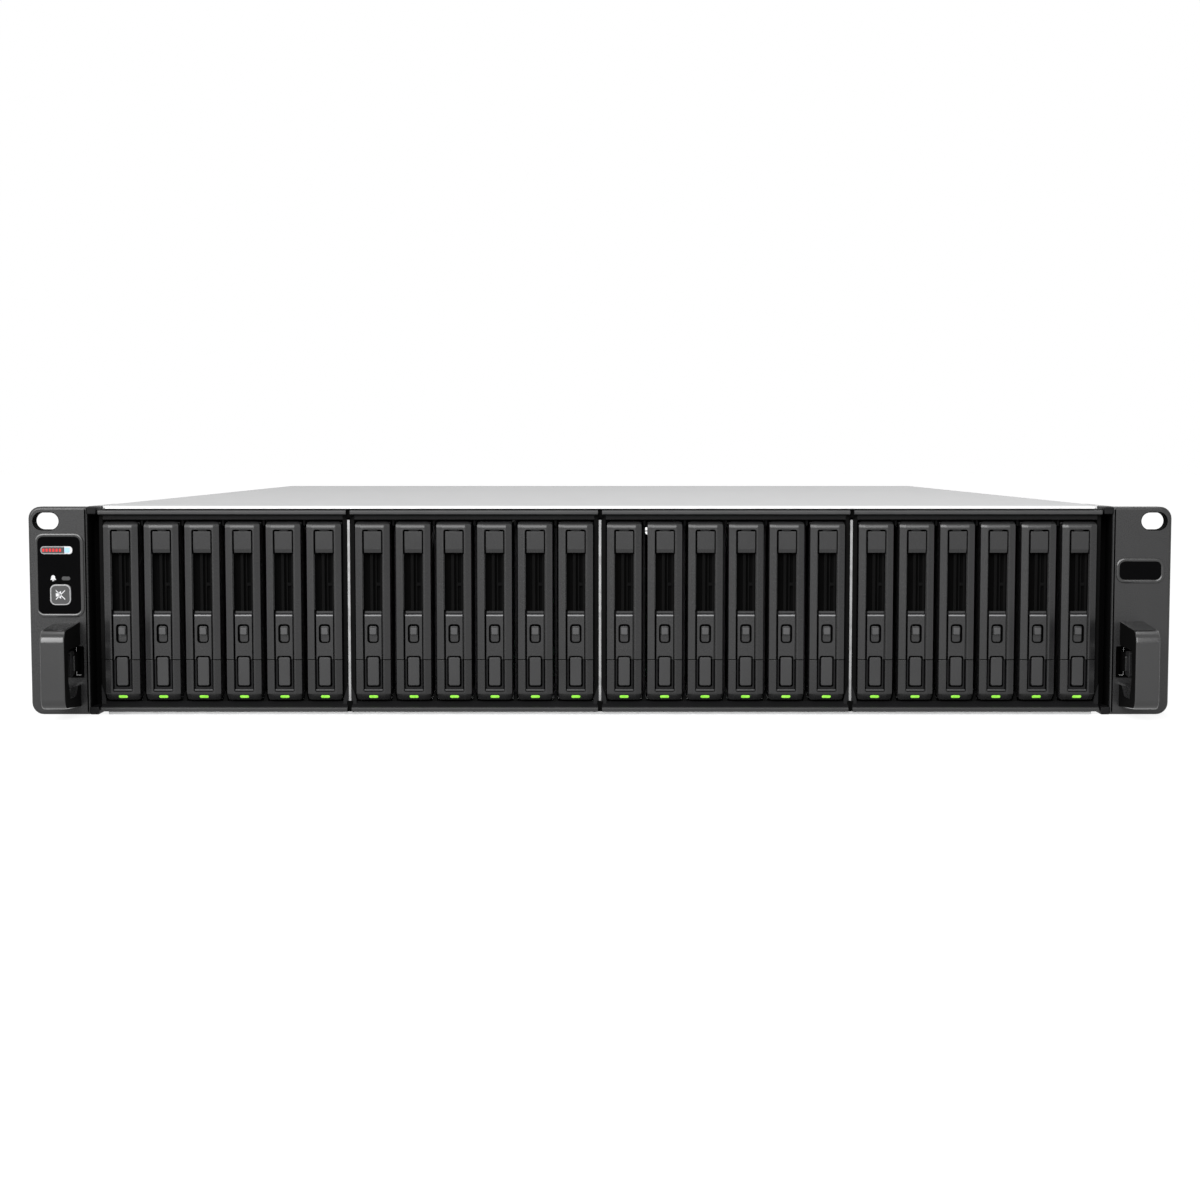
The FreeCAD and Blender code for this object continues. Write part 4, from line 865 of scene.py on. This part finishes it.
def bay_frame_mesh():
    """Four moulded frames with tongues above and peaked tabs below, between the trays."""
    groups = bay_groups()
    low, high = corners("bay_frames")
    pitch = groups[1][0] - groups[0][0]
    half = (high.x - low.x - (len(groups) - 1) * pitch) / 2
    bottom, top, back = 1.3, 87, 14
    # the front band and the lower lip take lighter copies of the frame plastic, painted light
    profiles = (
        ("bay_frame", [(1.2, top), (back, top), (back, 82.35), (3.2, 82.35), (3.2, 84.3),
                       (1.2, 84.4)], [0.2, 0, 0, 0.3, 0.2, 0.2]),
        ("bay_band", [(0, 86.4), (1.4, 86.4), (1.4, 84.75), (0, 84.75)], [0.45, 0, 0, 0.25]),
        ("bay_frame", [(0.9, 3.1), (4, 5.4), (back, 5.4), (back, bottom), (0.9, bottom)],
         [0.3, 0.5, 0, 0, 0]),
        ("bay_lip", [(0, bottom), (0, 2.9), (1.1, 3.2), (1.1, bottom)], [0.2, 0.4, 0, 0]))
    frames = Shape()
    for before, after in zip(groups, groups[1:]):
        seam = (before[-1] + after[0]) / 2
        for z_low, z_high in ((83.2, 86.9), (1.4, 5.6)):
            # near-black plates in the seams between groups, painted shade
            frames.plate(span(seam - 1.2, seam + 1.2, z_low, z_high), 2.2, 2.9, "cavity")
    fingers = []
    for group in groups:
        middle = (group[0] + group[-1]) / 2
        reach = (group[-1] - group[0]) / 2 + HALF_TRAY
        for finish, outline, radii in profiles:
            frames.plate(softened(outline, radii, 3), middle - half, middle + half, finish, 0.2,
                         sideways, True)
        for side in (-1, 1):
            last = group is (groups[0] if side < 0 else groups[-1])
            inner = middle + side * (reach + 0.45)
            outer = middle + side * (half if last else half + 0.25)
            post = span(min(inner, outer), max(inner, outer), bottom, top)
            # the posts are near black, painted shade
            frames.plate(softened(post, 0.3, 2), 3, back, "rib", 0.35)
            foot = [(outer, 1.5), (inner - side * 0.2, 1.5), (inner - side * 0.2, 5.9),
                    (inner + side * 0.15, 7.5), (outer - side * 0.1, 12.5), (outer, 12.5)]
            frames.plate(foot, 2.6, 4, "bay_frame")
        for gap in ((a + b) / 2 for a, b in zip(group, group[1:])):
            tongue = [(gap - 0.5, 84.2), (gap - 0.42, 80.2), (gap, 79.6), (gap + 0.42, 80.2),
                      (gap + 0.5, 84.2)]
            # tongues and tabs near black, painted shade
            frames.plate(tongue, 4.4, 9, "rib")
            tab = [(gap - 1.15, 5.0), (gap + 1.15, 5.0), (gap + 0.42, 8.2), (gap + 0.12, 9.6),
                   (gap - 0.12, 9.6), (gap - 0.42, 8.2)]
            frames.plate(tab, 4.2, 9, "rib", 0.1)
            fingers.append(studs(1, 30, 1, 2.4, 0.3, 0.12, gap, 15.75, 44, "bay_frame", 6))
    return shaded(joined_mesh("bay_frames", [frames] + fingers))


# ---- ears ----------------------------------------------------------------------------------


EAR_IN, EAR_OUT = 216.0, 241.0
HANDLE_IN, HANDLE_OUT = 219.9, 230.0
GAP_LOW, GAP_HIGH = 13.6, 29.0          # gap for the fingers in a handle
LATCH_AXIS = 22, 22.2                   # Y and Z of the pins of the rack latches
LIGHT_BAR_Z = 69.7


def flange_mesh(side):
    """Ear flange with rounded edges, rack slot and latch window."""
    plate = Shape()
    outline = softened(span(EAR_IN, EAR_OUT, 0, BODY_HEIGHT), [0.6, 5, 5, 0.6], 6)
    outline = [(side * u, v) for u, v in outline]
    plate.plate(outline, 0, 7, "ear", 1.3, steps=5)
    slot = softened(rectangle(side * 233.5, 81.9, 10.7, 7.2), 3.59, 8)
    window = span(*sorted((side * 218.6, side * 226.4)), 15.9, 28.9)
    passage = span(*sorted((side * 220.9, side * 223.1)), 16.2, 28.6)
    # the slot, window, passage and mute hole are lined with the near-black finish, painted shade
    cutters = [pocket(slot, 9, "cavity", 0.35),
               pocket(softened(window, 0.4, 2), 5.6, "cavity", 0.2),
               pocket(passage, 4, "cavity", 0.1, 5.2)]
    if side < 0:
        low, high = corners("mute_button")
        hole = span(low.x + 0.6, high.x - 0.6, low.z + 0.6, high.z - 0.6)
        cutters.append(pocket(softened(hole, 1.6), 9, "cavity", 0.1))
    return cut_from(plate, cutters)


def handle_mesh(side):
    """D-shaped pull handle with soft edges, with painted shade on the face toward the bays."""
    body = Shape()
    outline = softened([(1.5, 39.8), (-32, 37.6), (-32, 5.4), (1.5, 3.2)], [0, 5.5, 4.2, 0], 7)
    low, high = sorted((side * HANDLE_IN, side * HANDLE_OUT))
    body.plate(outline, low, high, "handle", 0.7, sideways, True, 3)
    gap = softened(span(-24, 3, GAP_LOW, GAP_HIGH), [2.4, 0, 0, 2.4], 4)
    rows = ((low - 3, -0.7), (low, -0.7), (low + 0.7, 0), (high - 0.7, 0), (high, -0.7),
            (high + 3, -0.7))
    grip = Shape().loft([[sideways(u, v, x) for u, v in inset(gap, away)] for x, away in rows],
                        "handle")
    handle = cut_from(body, [grip])
    # the face toward the bays takes the near-black finish: painted shade
    handle.materials.append(FINISHES["cavity"])
    for face in handle.polygons:
        if face.normal.x * side < -0.9:
            face.material_index = len(handle.materials) - 1
    return handle


def channel_shape(side):
    """Recess between the flange and the bays: floor, arms, wall and web."""
    channel = Shape()
    # the floor, the web and the thin sheet at the flange's inner edge are near black, and the
    # flange's inner wall takes the darker ear plastic: painted shade
    for x_low, x_high, y_low, y_high, z_low, z_high, edge, finish in (
            (212.4, 217.4, 14, 15.5, 0, BODY_HEIGHT, 0.25, "cavity"),
            (208.8, 212.5, 14.6, 15.3, 3, 86, 0.25, "cavity"),
            (215.9, 216.1, 1.1, 14.1, 3.1, 84.9, 0.05, "cavity"),
            (216.0, 217.4, 6, 15.5, 0, BODY_HEIGHT, 0.25, "recess"),
            (215.25, 217.4, 15.2, 62, 0, BODY_HEIGHT, 0.25, "ear"),
            (212.4, 216.3, 0, 14.3, 0, 3.2, 0.5, "bay_frame"),
            (212.4, 216.3, 0, 14.3, 84.8, BODY_HEIGHT, 0.5, "bay_frame")):
        xs = sorted((side * x_low, side * x_high))
        channel.plate(softened(span(xs[0], xs[1], z_low, z_high), edge, 2), y_low, y_high, finish,
                      edge)
    return channel


def window_parts(x, z, width, height, radius, sizes):
    """A glossy window and the bead round it."""
    bead, rise = sizes.bezel_width / MM, sizes.bezel_height / MM
    parts = Shape()
    parts.plate(softened(rectangle(x, z, width, height), radius, 6), -0.5, 0.2, "window", 0.15)
    rim = softened(rectangle(x, z, width + 2 * bead, height + 2 * bead), radius + bead, 6)
    parts.frame(rim, bead + 0.15, -rise, 0.05, "handle")
    return parts


def left_ear_parts(sizes):
    """Status window with its light bar, bell and the hole of the mute button."""
    low, high = corners("mute_button")
    size = high.x - low.x - 2.0
    x, z = (low.x + high.x) / 2, (low.z + high.z) / 2
    window = window_parts(-228.1, 59.1, 18.0, 32.6, 2.4, sizes)
    hole = softened(rectangle(x, z, size + 0.3, size + 0.3), 2.1, 5)
    window = cut_from(window, [pocket(hole, 5, "cavity", 0.05, -0.5)])
    marks = Shape()
    bar = softened(rectangle(-229.1, LIGHT_BAR_Z, 13.4, 3.3), 1.3, 5)
    marks.plate(bar, -0.56, -0.4, "ring", 0.05)
    marks.plate(inset(bar, 0.4), -0.58, -0.5, "dim")
    for i in range(6):
        marks.plate(softened(rectangle(-234.6 + i * 1.4, LIGHT_BAR_Z, 0.95, 1.35), 0.2, 2),
                    -0.6, -0.5, "red_light")
    cap = softened(rectangle(-224.1, LIGHT_BAR_Z, 3.3, 3.1), [0.1, 1.2, 1.2, 0.1], 4)
    marks.plate(cap, -0.59, -0.5, "white")
    marks.plate(softened(rectangle(-224.6, LIGHT_BAR_Z, 2.1, 2.1), 0.3, 3), -0.61, -0.5,
                "panel_light")
    marks.plate(softened(rectangle(-225.3, 57.8, 3.6, 1.6), 0.75, 4), -0.56, -0.4, "dim", 0.05)
    bell = [(-232.0, 57.2), (-229.4, 57.2), (-229.8, 57.8), (-229.9, 58.7), (-230.7, 59.3),
            (-231.5, 58.7), (-231.6, 57.8)]
    marks.plate(softened(bell, [0.1, 0.1, 0.2, 0.3, 0.4, 0.3, 0.2], 2), -0.57, -0.4, "white")
    marks.plate(softened(rectangle(-230.7, 56.85, 0.8, 0.4), 0.15, 2), -0.57, -0.4, "white")
    return [window, marks]


def ears_mesh(sizes):
    """Both ears with handles, channels, windows and latch pins."""
    meshes = left_ear_parts(sizes)
    meshes.append(window_parts(227.9, 61.1, 17.6, 7.8, 2.2, sizes))
    pin_end = corners("right_rack_latch")[1].x + 1.5
    # a trapezoid of ear plastic on the handle's darkened inner face, painted light
    painted_light_patch = softened([(-21.5, 8.9), (-11.5, 8.9), (-6.5, 13.2), (-23, 13.2)], 0.5, 3)
    for side in (-1, 1):
        channel = channel_shape(side)
        low, high = sorted((side * 217.4, side * pin_end))
        channel.plate(circle(*LATCH_AXIS, 2, 24), low, high, "screw", 0.3, sideways, True)
        channel.plate(painted_light_patch, side * (HANDLE_IN - 0.15), side * (HANDLE_IN + 0.2), "ear", 0.05,
                      sideways)
        meshes += [flange_mesh(side), handle_mesh(side), channel]
    return shaded(joined_mesh("rack_ears", meshes))


def mute_button_mesh():
    """Square button with a pale ring and a crossed loudspeaker."""
    low, high = corners("mute_button")
    x, z = (low.x + high.x) / 2, (low.z + high.z) / 2
    size, front = high.x - low.x - 2.0, low.y
    cap = size - 1.1
    button = Shape()
    button.plate(softened(rectangle(x, z, size, size), 2.3, 6), front + 0.12, high.y, "ring", 0.3)
    button.plate(softened(rectangle(x, z, cap, cap), 1.8, 6), front + 0.05, front + 0.6, "mute",
                 0.08)
    horn = [(x - 1.9, z - 0.7), (x - 1.0, z - 0.7), (x + 0.3, z - 1.7), (x + 0.3, z + 1.7),
            (x - 1.0, z + 0.7), (x - 1.9, z + 0.7)]
    strokes = [[(x - 1.9, z - rise - 0.25), (x - 1.9, z - rise + 0.25),
                (x + 2.0, z + rise + 0.25), (x + 2.0, z + rise - 0.25)] for rise in (-1.9, 1.9)]
    for outline in [horn] + strokes:
        button.plate(outline, front, front + 0.3, "white")
    button.plate(span(low.x, high.x, low.z, high.z), 3.6, high.y, "ear", 0.2)
    return shaded(button)


def latch_mesh(side):
    """Latch in the handle gap, with a finger bar and a near-black shield behind the flange's
    window, a sheet of painted shade; the stem is painted shade too.
    """
    node = ("right" if side > 0 else "left") + "_rack_latch"
    low, high = corners(node)
    bar_reach = 1.1
    if side > 0:
        inner, outer = low.x + bar_reach, high.x
        bar_low, bar_high = inner - 1.05, inner + 0.1
    else:
        inner, outer = low.x, high.x - bar_reach
        bar_low, bar_high = outer - 0.1, outer + 1.05
    front = low.y
    outline = softened([(front + 1, 18.2), (front + 1, 26.7), (0, 26.5), (22, 26.9), (26.8, 26),
                        (26.8, 18), (22, 17.4), (0, 18.4)], [0.5, 0.5, 1, 1, 1.5, 1.5, 1, 1], 4)
    head = softened([(front, 16.75), (front, 28.15), (front + 8, 27.4), (front + 8, 17.5)],
                    [1.2, 1.2, 0.8, 0.8], 4)
    plate = Shape()
    # the stem behind the head is near black, painted shade
    plate.plate(outline, inner + 0.05, outer - 0.05, "cavity", 0.2, sideways, True)
    plate.plate(head, inner, outer, "latch", 0.2, sideways, True)
    bore = Shape().plate(circle(*LATCH_AXIS, 2.05, 24), inner - 1, outer + 1, "latch", lay=sideways)
    body = cut_from(plate, [bore])
    bar = Shape()
    bar.plate(softened(span(front + 2.6, front + 4.1, 19.3, 25.7), 0.5, 3), bar_low, bar_high,
              "handle", 0.25, sideways, True)
    bar.plate(span(front - 0.02, front + 0.5, 18.2, 26.8), inner + 0.1, outer - 0.1, "handle", 0.1,
              sideways)
    middle = (inner + outer) / 2
    # a near-black plate in the passage behind the flange's window, painted shade
    bar.plate(span(middle - 1.2, middle + 1.2, 16.2, 28.6), 7.65, 8.0, "cavity")
    return shaded(joined_mesh(node, [body, bar]))


# ---- cover and chassis ---------------------------------------------------------------------


def cover_mesh():
    """Sliding cover with a rounded front edge and two side skirts."""
    low, high = corners("top_cover")
    cover = Shape()
    cover.plate(softened(span(low.x, high.x, low.y, high.y), 1.5, 3), high.z, high.z - 1.2, "zinc",
                0.35, lying)
    for x in (low.x + 1.5, high.x - 2.7):
        cover.plate(span(low.y, high.y - 51.2, low.z, high.z - 1.1), x, x + 1.2, "zinc", 0.2,
                    sideways, True)
    return shaded(cover)


def cage_mesh():
    """Roof, cage sheets, partitions and the backplane with its connectors."""
    def choose(low, high):
        if high[2] > 86.5:
            return "roof"
        if high[2] - low[2] < 60 and high[0] - low[0] < 8:
            return "connector"
        if low[1] > 120 and high[0] - low[0] > 300:
            return "board"
        if low[1] < 5:
            return "bright"
        # thin sheets, the dividers, take the dark sheet
        return "coated" if high[0] - low[0] < 3 else "zinc"
    return shaded(node_pieces("drive_cage", choose), 30)


def screw_heads(x, y, z, radius, depth, socket, rows=1, step=1):
    """Screw heads in a column, each with a dark hexagon socket (radius, depth)."""
    return [studs(1, rows, 1, step, radius, depth, x, y, z, "screw", 20),
            studs(1, rows, 1, step, *socket, x, y, z, "hole", 6)]


def rear_wall_mesh():
    """Lattices behind the rear slots, and the screws of the rear wall."""
    back = BODY_DEPTH
    first, reach = -191.0, 7 * 37.0     # first slot, and from there to the last
    width, bar = reach + 32, 3.2
    meshes = []
    for z in (55.2, 69.2):
        meshes.append(slats(int(width / bar) + 1, (first - 15.2, back - 1.9, z), (bar, 0, 0),
                            (0.7, 0.6, 9.2), "zinc"))
        meshes.append(slats(4, (first + reach / 2, back - 1.9, z - 4.4), (0, 0, 2.95),
                            (width, 0.6, 0.7), "zinc"))
    for x in (-212, 98, 134.5):
        meshes += screw_heads(x, back - 0.4, 44, 2.6, 1.0, (1.3, 1.05), 2, 74)
    return shaded(joined_mesh("rear_grille", meshes))


# ---- rear modules --------------------------------------------------------------------------


def fan_guard(x, z, radius, y, rings):
    """Wire rings over a fan."""
    wire = 0.45
    guard = Shape()
    for i in range(1, rings + 1):
        ring = radius * i / (rings + 0.25)
        loops = [[(x + (ring + wire * math.cos(a)) * math.cos(t), y + wire * math.sin(a),
                   z + (ring + wire * math.cos(a)) * math.sin(t))
                  for t in (math.tau * s / 40 for s in range(40))]
                 for a in (math.tau * k / 6 for k in range(6))]
        guard.loft(loops, "module", ring=True)
    return guard


def supply_mesh(node, sizes):
    """Power supply: case, inlet, fan and guard, handle, release tab, light and vents."""
    low, high = corners(node)
    back = BODY_DEPTH
    z = (low.z + high.z) / 2
    well_radius, inlet_half = 15.5, 13.5
    fan_x = low.x + 4 + well_radius
    inlet_x = high.x - 3.5 - inlet_half
    case = Shape().plate(softened(span(low.x, high.x, low.z, high.z), 0.8, 3), back, low.y,
                         "module", 0.4)
    left, right = inlet_x - inlet_half, inlet_x + inlet_half
    inlet = softened([(left, z - 9.5), (right, z - 9.5), (right, z + 5.5), (inlet_x + 9.5, z + 9.5),
                      (inlet_x - 9.5, z + 9.5), (left, z + 5.5)], 1.0, 3)
    hole = Shape().plate(inlet, back - 16, back + 2, "connector")
    well = Shape().plate(circle(fan_x, z, well_radius, 40), back - 6, back + 2, "fan")
    body = cut_from(case, [hole, well])

    parts = Shape()
    parts.frame(inlet, 1.3, back + 0.5, back - 1, "connector")
    for dx, dz in ((-7, -2), (0, 3.5), (7, -2)):
        parts.plate(rectangle(inlet_x + dx, z + dz, 2, 4), back - 7, back - 16, "screw", 0.4)
    parts.plate(circle(fan_x, z, 6, 28), back - 3.0, back - 6, "fan", 0.6)
    root, tip, sweep = 5.5, 14.6, 0.55
    blades = 9
    for i in range(blades):
        a = math.tau * i / blades
        blade = [(fan_x + r * math.cos(a + t), z + r * math.sin(a + t))
                 for r, t in ((root, -0.1), (tip, 0.18), (tip, 0.18 + sweep * 0.7), (root, sweep))]
        parts.plate(blade, back - 4.4, back - 5.2, "fan", 0.1)
    tab = softened([(back, z - 6), (back + 14, z - 3), (back + 14, z + 3), (back, z + 6)],
                   [0, 1.5, 1.5, 0], 4)
    parts.plate(tab, low.x + 1, low.x + 1 + 2.5, "release", 0.5, sideways, True)
    parts.plate(circle(inlet_x + 11, z + 14.5, 1.3, 16), back + 0.35, back - 1, "port_light", 0.2)

    grip_x = fan_x + well_radius + 3.6
    top, bottom, bar = high.z - 3, low.z + 3, 3.2
    outer = softened([(back, bottom), (back + 26, bottom), (back + 26, top), (back, top)],
                     [0, 5, 5, 0], 6)
    inner = softened([(back - 2, bottom + bar), (back + 26 - bar, bottom + bar),
                      (back + 26 - bar, top - bar), (back - 2, top - bar)], [0, 3, 3, 0], 5)
    loop = Shape().plate(outer, grip_x - bar / 2, grip_x + bar / 2, "release", 0.7, sideways,
                         True, 3)
    hollow = Shape().plate(inner, grip_x - 4, grip_x + 4, "release", lay=sideways)
    grip = cut_from(loop, [hollow])

    guard = fan_guard(fan_x, z, 15.2, back - 0.55, sizes.guard_rings)
    bars = [slats(1, (fan_x, back - 0.6, z), (0, 0, 1), size, "module")
            for size in ((30.4, 0.8, 0.9), (0.9, 0.8, 30.4))]
    vent = studs(16, 5, 4, 4, sizes.perforation / MM, 0.1, 0, -FRONT_Y / MM, 0, "hole", 8)
    vent.transform(Matrix.Rotation(math.pi / 2, 4, "X"))
    vent.transform(Matrix.Translation(((low.x + high.x) / 2 * MM, -FRONT_Y - 0.05,
                                       (high.z - 0.04) * MM)))
    return shaded(joined_mesh(node, [body, parts, grip, guard] + bars
                              + [vent]))


def expander_mesh():
    """Input and output module: case, four port cages, lights, screws and a release lever."""
    low, high = corners("expander_module")
    back = BODY_DEPTH
    z = (low.z + high.z) / 2
    case = Shape().plate(softened(span(low.x, high.x, low.z, high.z), 0.8, 3), back, low.y,
                         "module", 0.4)
    holes, cages, marks = [], Shape(), []
    for x in (low.x + 24 + i * 31 for i in range(4)):
        port = softened(rectangle(x, z, 22, 12), 0.5, 2)
        holes.append(Shape().plate(port, back - 21, back + 3, "connector"))
        cages.frame(softened(rectangle(x, z, 24, 14), 0.9, 3), 1.0, high.y, back - 2, "bright")
        cages.plate(rectangle(x, z - 1.5, 17, 3), back - 9, back - 21, "connector", 0.3)
        marks.append(studs(2, 1, 5, 1, 0.9, 0.5, x, back, z + 11.5, "port_light", 14))
    body = cut_from(case, holes)
    for x in (low.x + 6, high.x - 6):
        for height in (low.z + 7, high.z - 7):
            marks += screw_heads(x, back + 0.1, height, 2.8, 2.6, (1.2, 2.7))
    handle = softened(span(low.x + 34, high.x - 34, low.z + 2.5, low.z + 6.0), 1.6, 4)
    lever = Shape().plate(handle, back + 1.4, back - 1, "release", 0.5)
    return shaded(joined_mesh("expander_module", [body, cages,
                                                  lever] + marks))


def fans_mesh():
    """Fan wall, fan frames and rotors."""
    def choose(low, high):
        if high[0] - low[0] > 300:
            return "zinc"
        return "connector" if high[0] - low[0] > 76 else "fan"
    return shaded(node_pieces("fan_modules", choose), 30)


# ---- operators -----------------------------------------------------------------------------
class PieceOperator:
    """Runs one builder and stops with an error if it fails."""
    bl_options = {"REGISTER"}

    def execute(self, context):
        if not FINISHES:
            raise RuntimeError("Mix the finishes first")
        self.build(context.scene.shelf_sizes)
        return {"FINISHED"}


class SHELF_OT_finishes(Operator):
    """Mixes the finishes of the plastics, sheets, windows and lights"""
    bl_idname = "shelf.mix_finishes"
    bl_label = "Mix Finishes"

    def execute(self, context):
        make_finishes(context)
        return {"FINISHED"}


class SHELF_OT_trays(PieceOperator, Operator):
    """Builds the 24 drive trays with button, light, sled and drive"""
    bl_idname = "shelf.build_trays"
    bl_label = "Drive Trays"

    def build(self, sizes):
        pattern = tray_mesh()
        for number in tray_names():
            node = "drive_tray_" + number
            fit("tray_" + number, pattern, node, [node], tray_centre(number))


class SHELF_OT_levers(PieceOperator, Operator):
    """Builds the 24 tray levers with vent, pad and lock slider"""
    bl_idname = "shelf.build_levers"
    bl_label = "Tray Levers"

    def build(self, sizes):
        pattern = lever_mesh(sizes)
        for number in tray_names():
            node = "tray_lever_" + number
            fit("lever_" + number, pattern, node, [node], tray_centre(number))


class SHELF_OT_bay_frames(PieceOperator, Operator):
    """Builds the four bay frames"""
    bl_idname = "shelf.build_bay_frames"
    bl_label = "Bay Frames"

    def build(self, sizes):
        fit("frames_of_bays", bay_frame_mesh(), "shelf", ["bay_frames"])


class SHELF_OT_ears(PieceOperator, Operator):
    """Builds the rack ears with handles, windows, latches and mute button"""
    bl_idname = "shelf.build_ears"
    bl_label = "Rack Ears"

    def build(self, sizes):
        fit("ears", ears_mesh(sizes), "shelf", ["rack_ears"])
        fit("mute_key", mute_button_mesh(), "mute_button", ["mute_button"])
        for side, name in ((-1, "left"), (1, "right")):
            node = name + "_rack_latch"
            fit(name + "_latch", latch_mesh(side), node, [node])


class SHELF_OT_casing(PieceOperator, Operator):
    """Builds the cover, cage and rear grille, and coats the chassis"""
    bl_idname = "shelf.build_casing"
    bl_label = "Casing"

    def build(self, sizes):
        dress_node("chassis", "zinc")
        fit("cover", cover_mesh(), "top_cover", ["top_cover"])
        fit("cage", cage_mesh(), "shelf", ["drive_cage"])
        fit("rear_grille", rear_wall_mesh(), "shelf", [])


class SHELF_OT_modules(PieceOperator, Operator):
    """Builds the fans, power supplies and expander module"""
    bl_idname = "shelf.build_modules"
    bl_label = "Modules"

    def build(self, sizes):
        fit("fans", fans_mesh(), "shelf", ["fan_modules"])
        fit("expander", expander_mesh(), "shelf", ["expander_module"])
        for node in ("power_supply_1", "power_supply_2"):
            fit(node.replace("power_", ""), supply_mesh(node, sizes), node, [node])


def lamp(name, power, size, place, target):
    """A soft lamp that points at a target."""
    data = bpy.data.lights.new(name, "AREA")
    data.energy, data.shape, data.size, data.size_y = power, "RECTANGLE", size[0], size[1]
    made = bpy.data.objects.new(name, data)
    made.location = place
    made.rotation_euler = (Vector(target) - Vector(place)).to_track_quat("-Z", "Y").to_euler()
    bpy.context.scene.collection.objects.link(made)


def studio_ray(tree):
    """1 for rays that show the surroundings themselves: seen, mirrored or through glass."""
    ray = add_node(tree, "ShaderNodeLightPath").outputs
    seen = maths(tree, "MAXIMUM", ray["Is Camera Ray"], ray["Is Glossy Ray"])
    return maths(tree, "MAXIMUM", seen, ray["Is Transmission Ray"])


def set_floor():
    """Pale floor that glows to white away from the shelf and keeps its shadow."""
    reach = 12
    mesh = bpy.data.meshes.new("floor")
    mesh.from_pydata([(x, y, 0) for x, y in rectangle(0, 0, 2 * reach, 2 * reach)],
                     [], [(0, 1, 2, 3)])
    floor = bpy.data.objects.new("floor", mesh)
    bpy.context.scene.collection.objects.link(floor)
    finish, tree, shader, place = empty_finish("pale_floor")
    away = add_node(tree, "ShaderNodeVectorMath", {0: place}, operation="LENGTH")
    rise = add_node(tree, "ShaderNodeMapRange", {
        "Value": away.outputs["Value"], "From Min": 0.5, "From Max": 2.5, "To Min": 0.88,
        "To Max": 1.0})
    fill(tree, shader, {
        "Base Color": (0.25, 0.25, 0.25, 1), "Roughness": 1.0, "Specular IOR Level": 0.0,
        "Emission Color": (1, 1, 1, 1),
        "Emission Strength": maths(tree, "MULTIPLY", studio_ray(tree), rise.outputs["Result"])})
    mesh.materials.append(finish)


def set_world(room_light):
    """Surroundings that are white to the eye and dim as a light."""
    world = bpy.data.worlds.new("studio")
    world.use_nodes = True
    tree = world.node_tree
    shown = add_node(tree, "ShaderNodeMapRange", {
        "Value": studio_ray(tree), "To Min": room_light, "To Max": 1.0})
    fill(tree, tree.nodes["Background"], {"Color": (1, 1, 1, 1),
                                          "Strength": shown.outputs["Result"]})
    bpy.context.scene.world = world


def set_camera(stage):
    data = bpy.data.cameras.new("camera")
    data.sensor_width, data.lens, data.shift_y = 36, stage.lens, stage.shift
    data.clip_start, data.clip_end = 0.01, 60
    camera = bpy.data.objects.new("camera", data)
    camera.location = (0, FRONT_Y - stage.distance, stage.height)
    camera.rotation_euler = (math.pi / 2 - stage.tilt, 0, 0)
    bpy.context.scene.collection.objects.link(camera)
    bpy.context.scene.camera = camera


class SHELF_OT_stage(Operator):
    """Sets the floor, lamps, surroundings and camera"""
    bl_idname = "shelf.set_stage"
    bl_label = "Stage"

    def execute(self, context):
        stage = context.scene.shelf_stage
        set_floor()
        set_world(stage.room_light)
        front, rear = (0, FRONT_Y, 0.04), (0, -FRONT_Y, 0.04)
        lamp("key_lamp", stage.key_light, (1.6, 1.6), (-0.25, FRONT_Y - 1.9, 1.1), front)
        lamp("side_lamp", stage.side_light, (1.2, 1.5), (-1.25, FRONT_Y - 1.5, 1.05), front)
        lamp("top_lamp", stage.top_light, (1.2, 1.0), (0, 0, 1.8), (0, 0, 0))
        lamp("rear_lamp", stage.rear_light, (1.2, 0.6), (0.5, 1.3 - FRONT_Y, 2.0), rear)
        set_camera(stage)
        context.scene.view_settings.view_transform = "Standard"
        return {"FINISHED"}


class SHELF_PT_panel(Panel):
    """Lists the builders and their settings"""
    bl_label = "Disk Shelf"
    bl_idname = "SHELF_PT_panel"
    bl_space_type = "VIEW_3D"
    bl_region_type = "UI"
    bl_category = "Disk Shelf"

    def draw(self, context):
        scene = context.scene
        for group in (scene.shelf_sizes, scene.shelf_colours, scene.shelf_stage):
            box = self.layout.box()
            for key in group.bl_rna.properties.keys():
                if key not in ("rna_type", "name"):
                    box.prop(group, key)
        for operator in OPERATORS:
            self.layout.operator(operator.bl_idname)


OPERATORS = (SHELF_OT_finishes, SHELF_OT_trays, SHELF_OT_levers, SHELF_OT_bay_frames, SHELF_OT_ears,
             SHELF_OT_casing, SHELF_OT_modules, SHELF_OT_stage)
CLASSES = (ShelfSizes, ShelfColours, ShelfStage) + OPERATORS + (SHELF_PT_panel,)


def register():
    for item in CLASSES:
        bpy.utils.register_class(item)
    bpy.types.Scene.shelf_sizes = PointerProperty(type=ShelfSizes)
    bpy.types.Scene.shelf_colours = PointerProperty(type=ShelfColours)
    bpy.types.Scene.shelf_stage = PointerProperty(type=ShelfStage)


def unregister():
    del bpy.types.Scene.shelf_stage
    del bpy.types.Scene.shelf_colours
    del bpy.types.Scene.shelf_sizes
    for item in reversed(CLASSES):
        bpy.utils.unregister_class(item)


def main():
    register()
    for operator in OPERATORS:
        group, name = operator.bl_idname.split(".")
        getattr(getattr(bpy.ops, group), name)()
    bpy.context.view_layer.update()


if __name__ == "__main__":
    main()
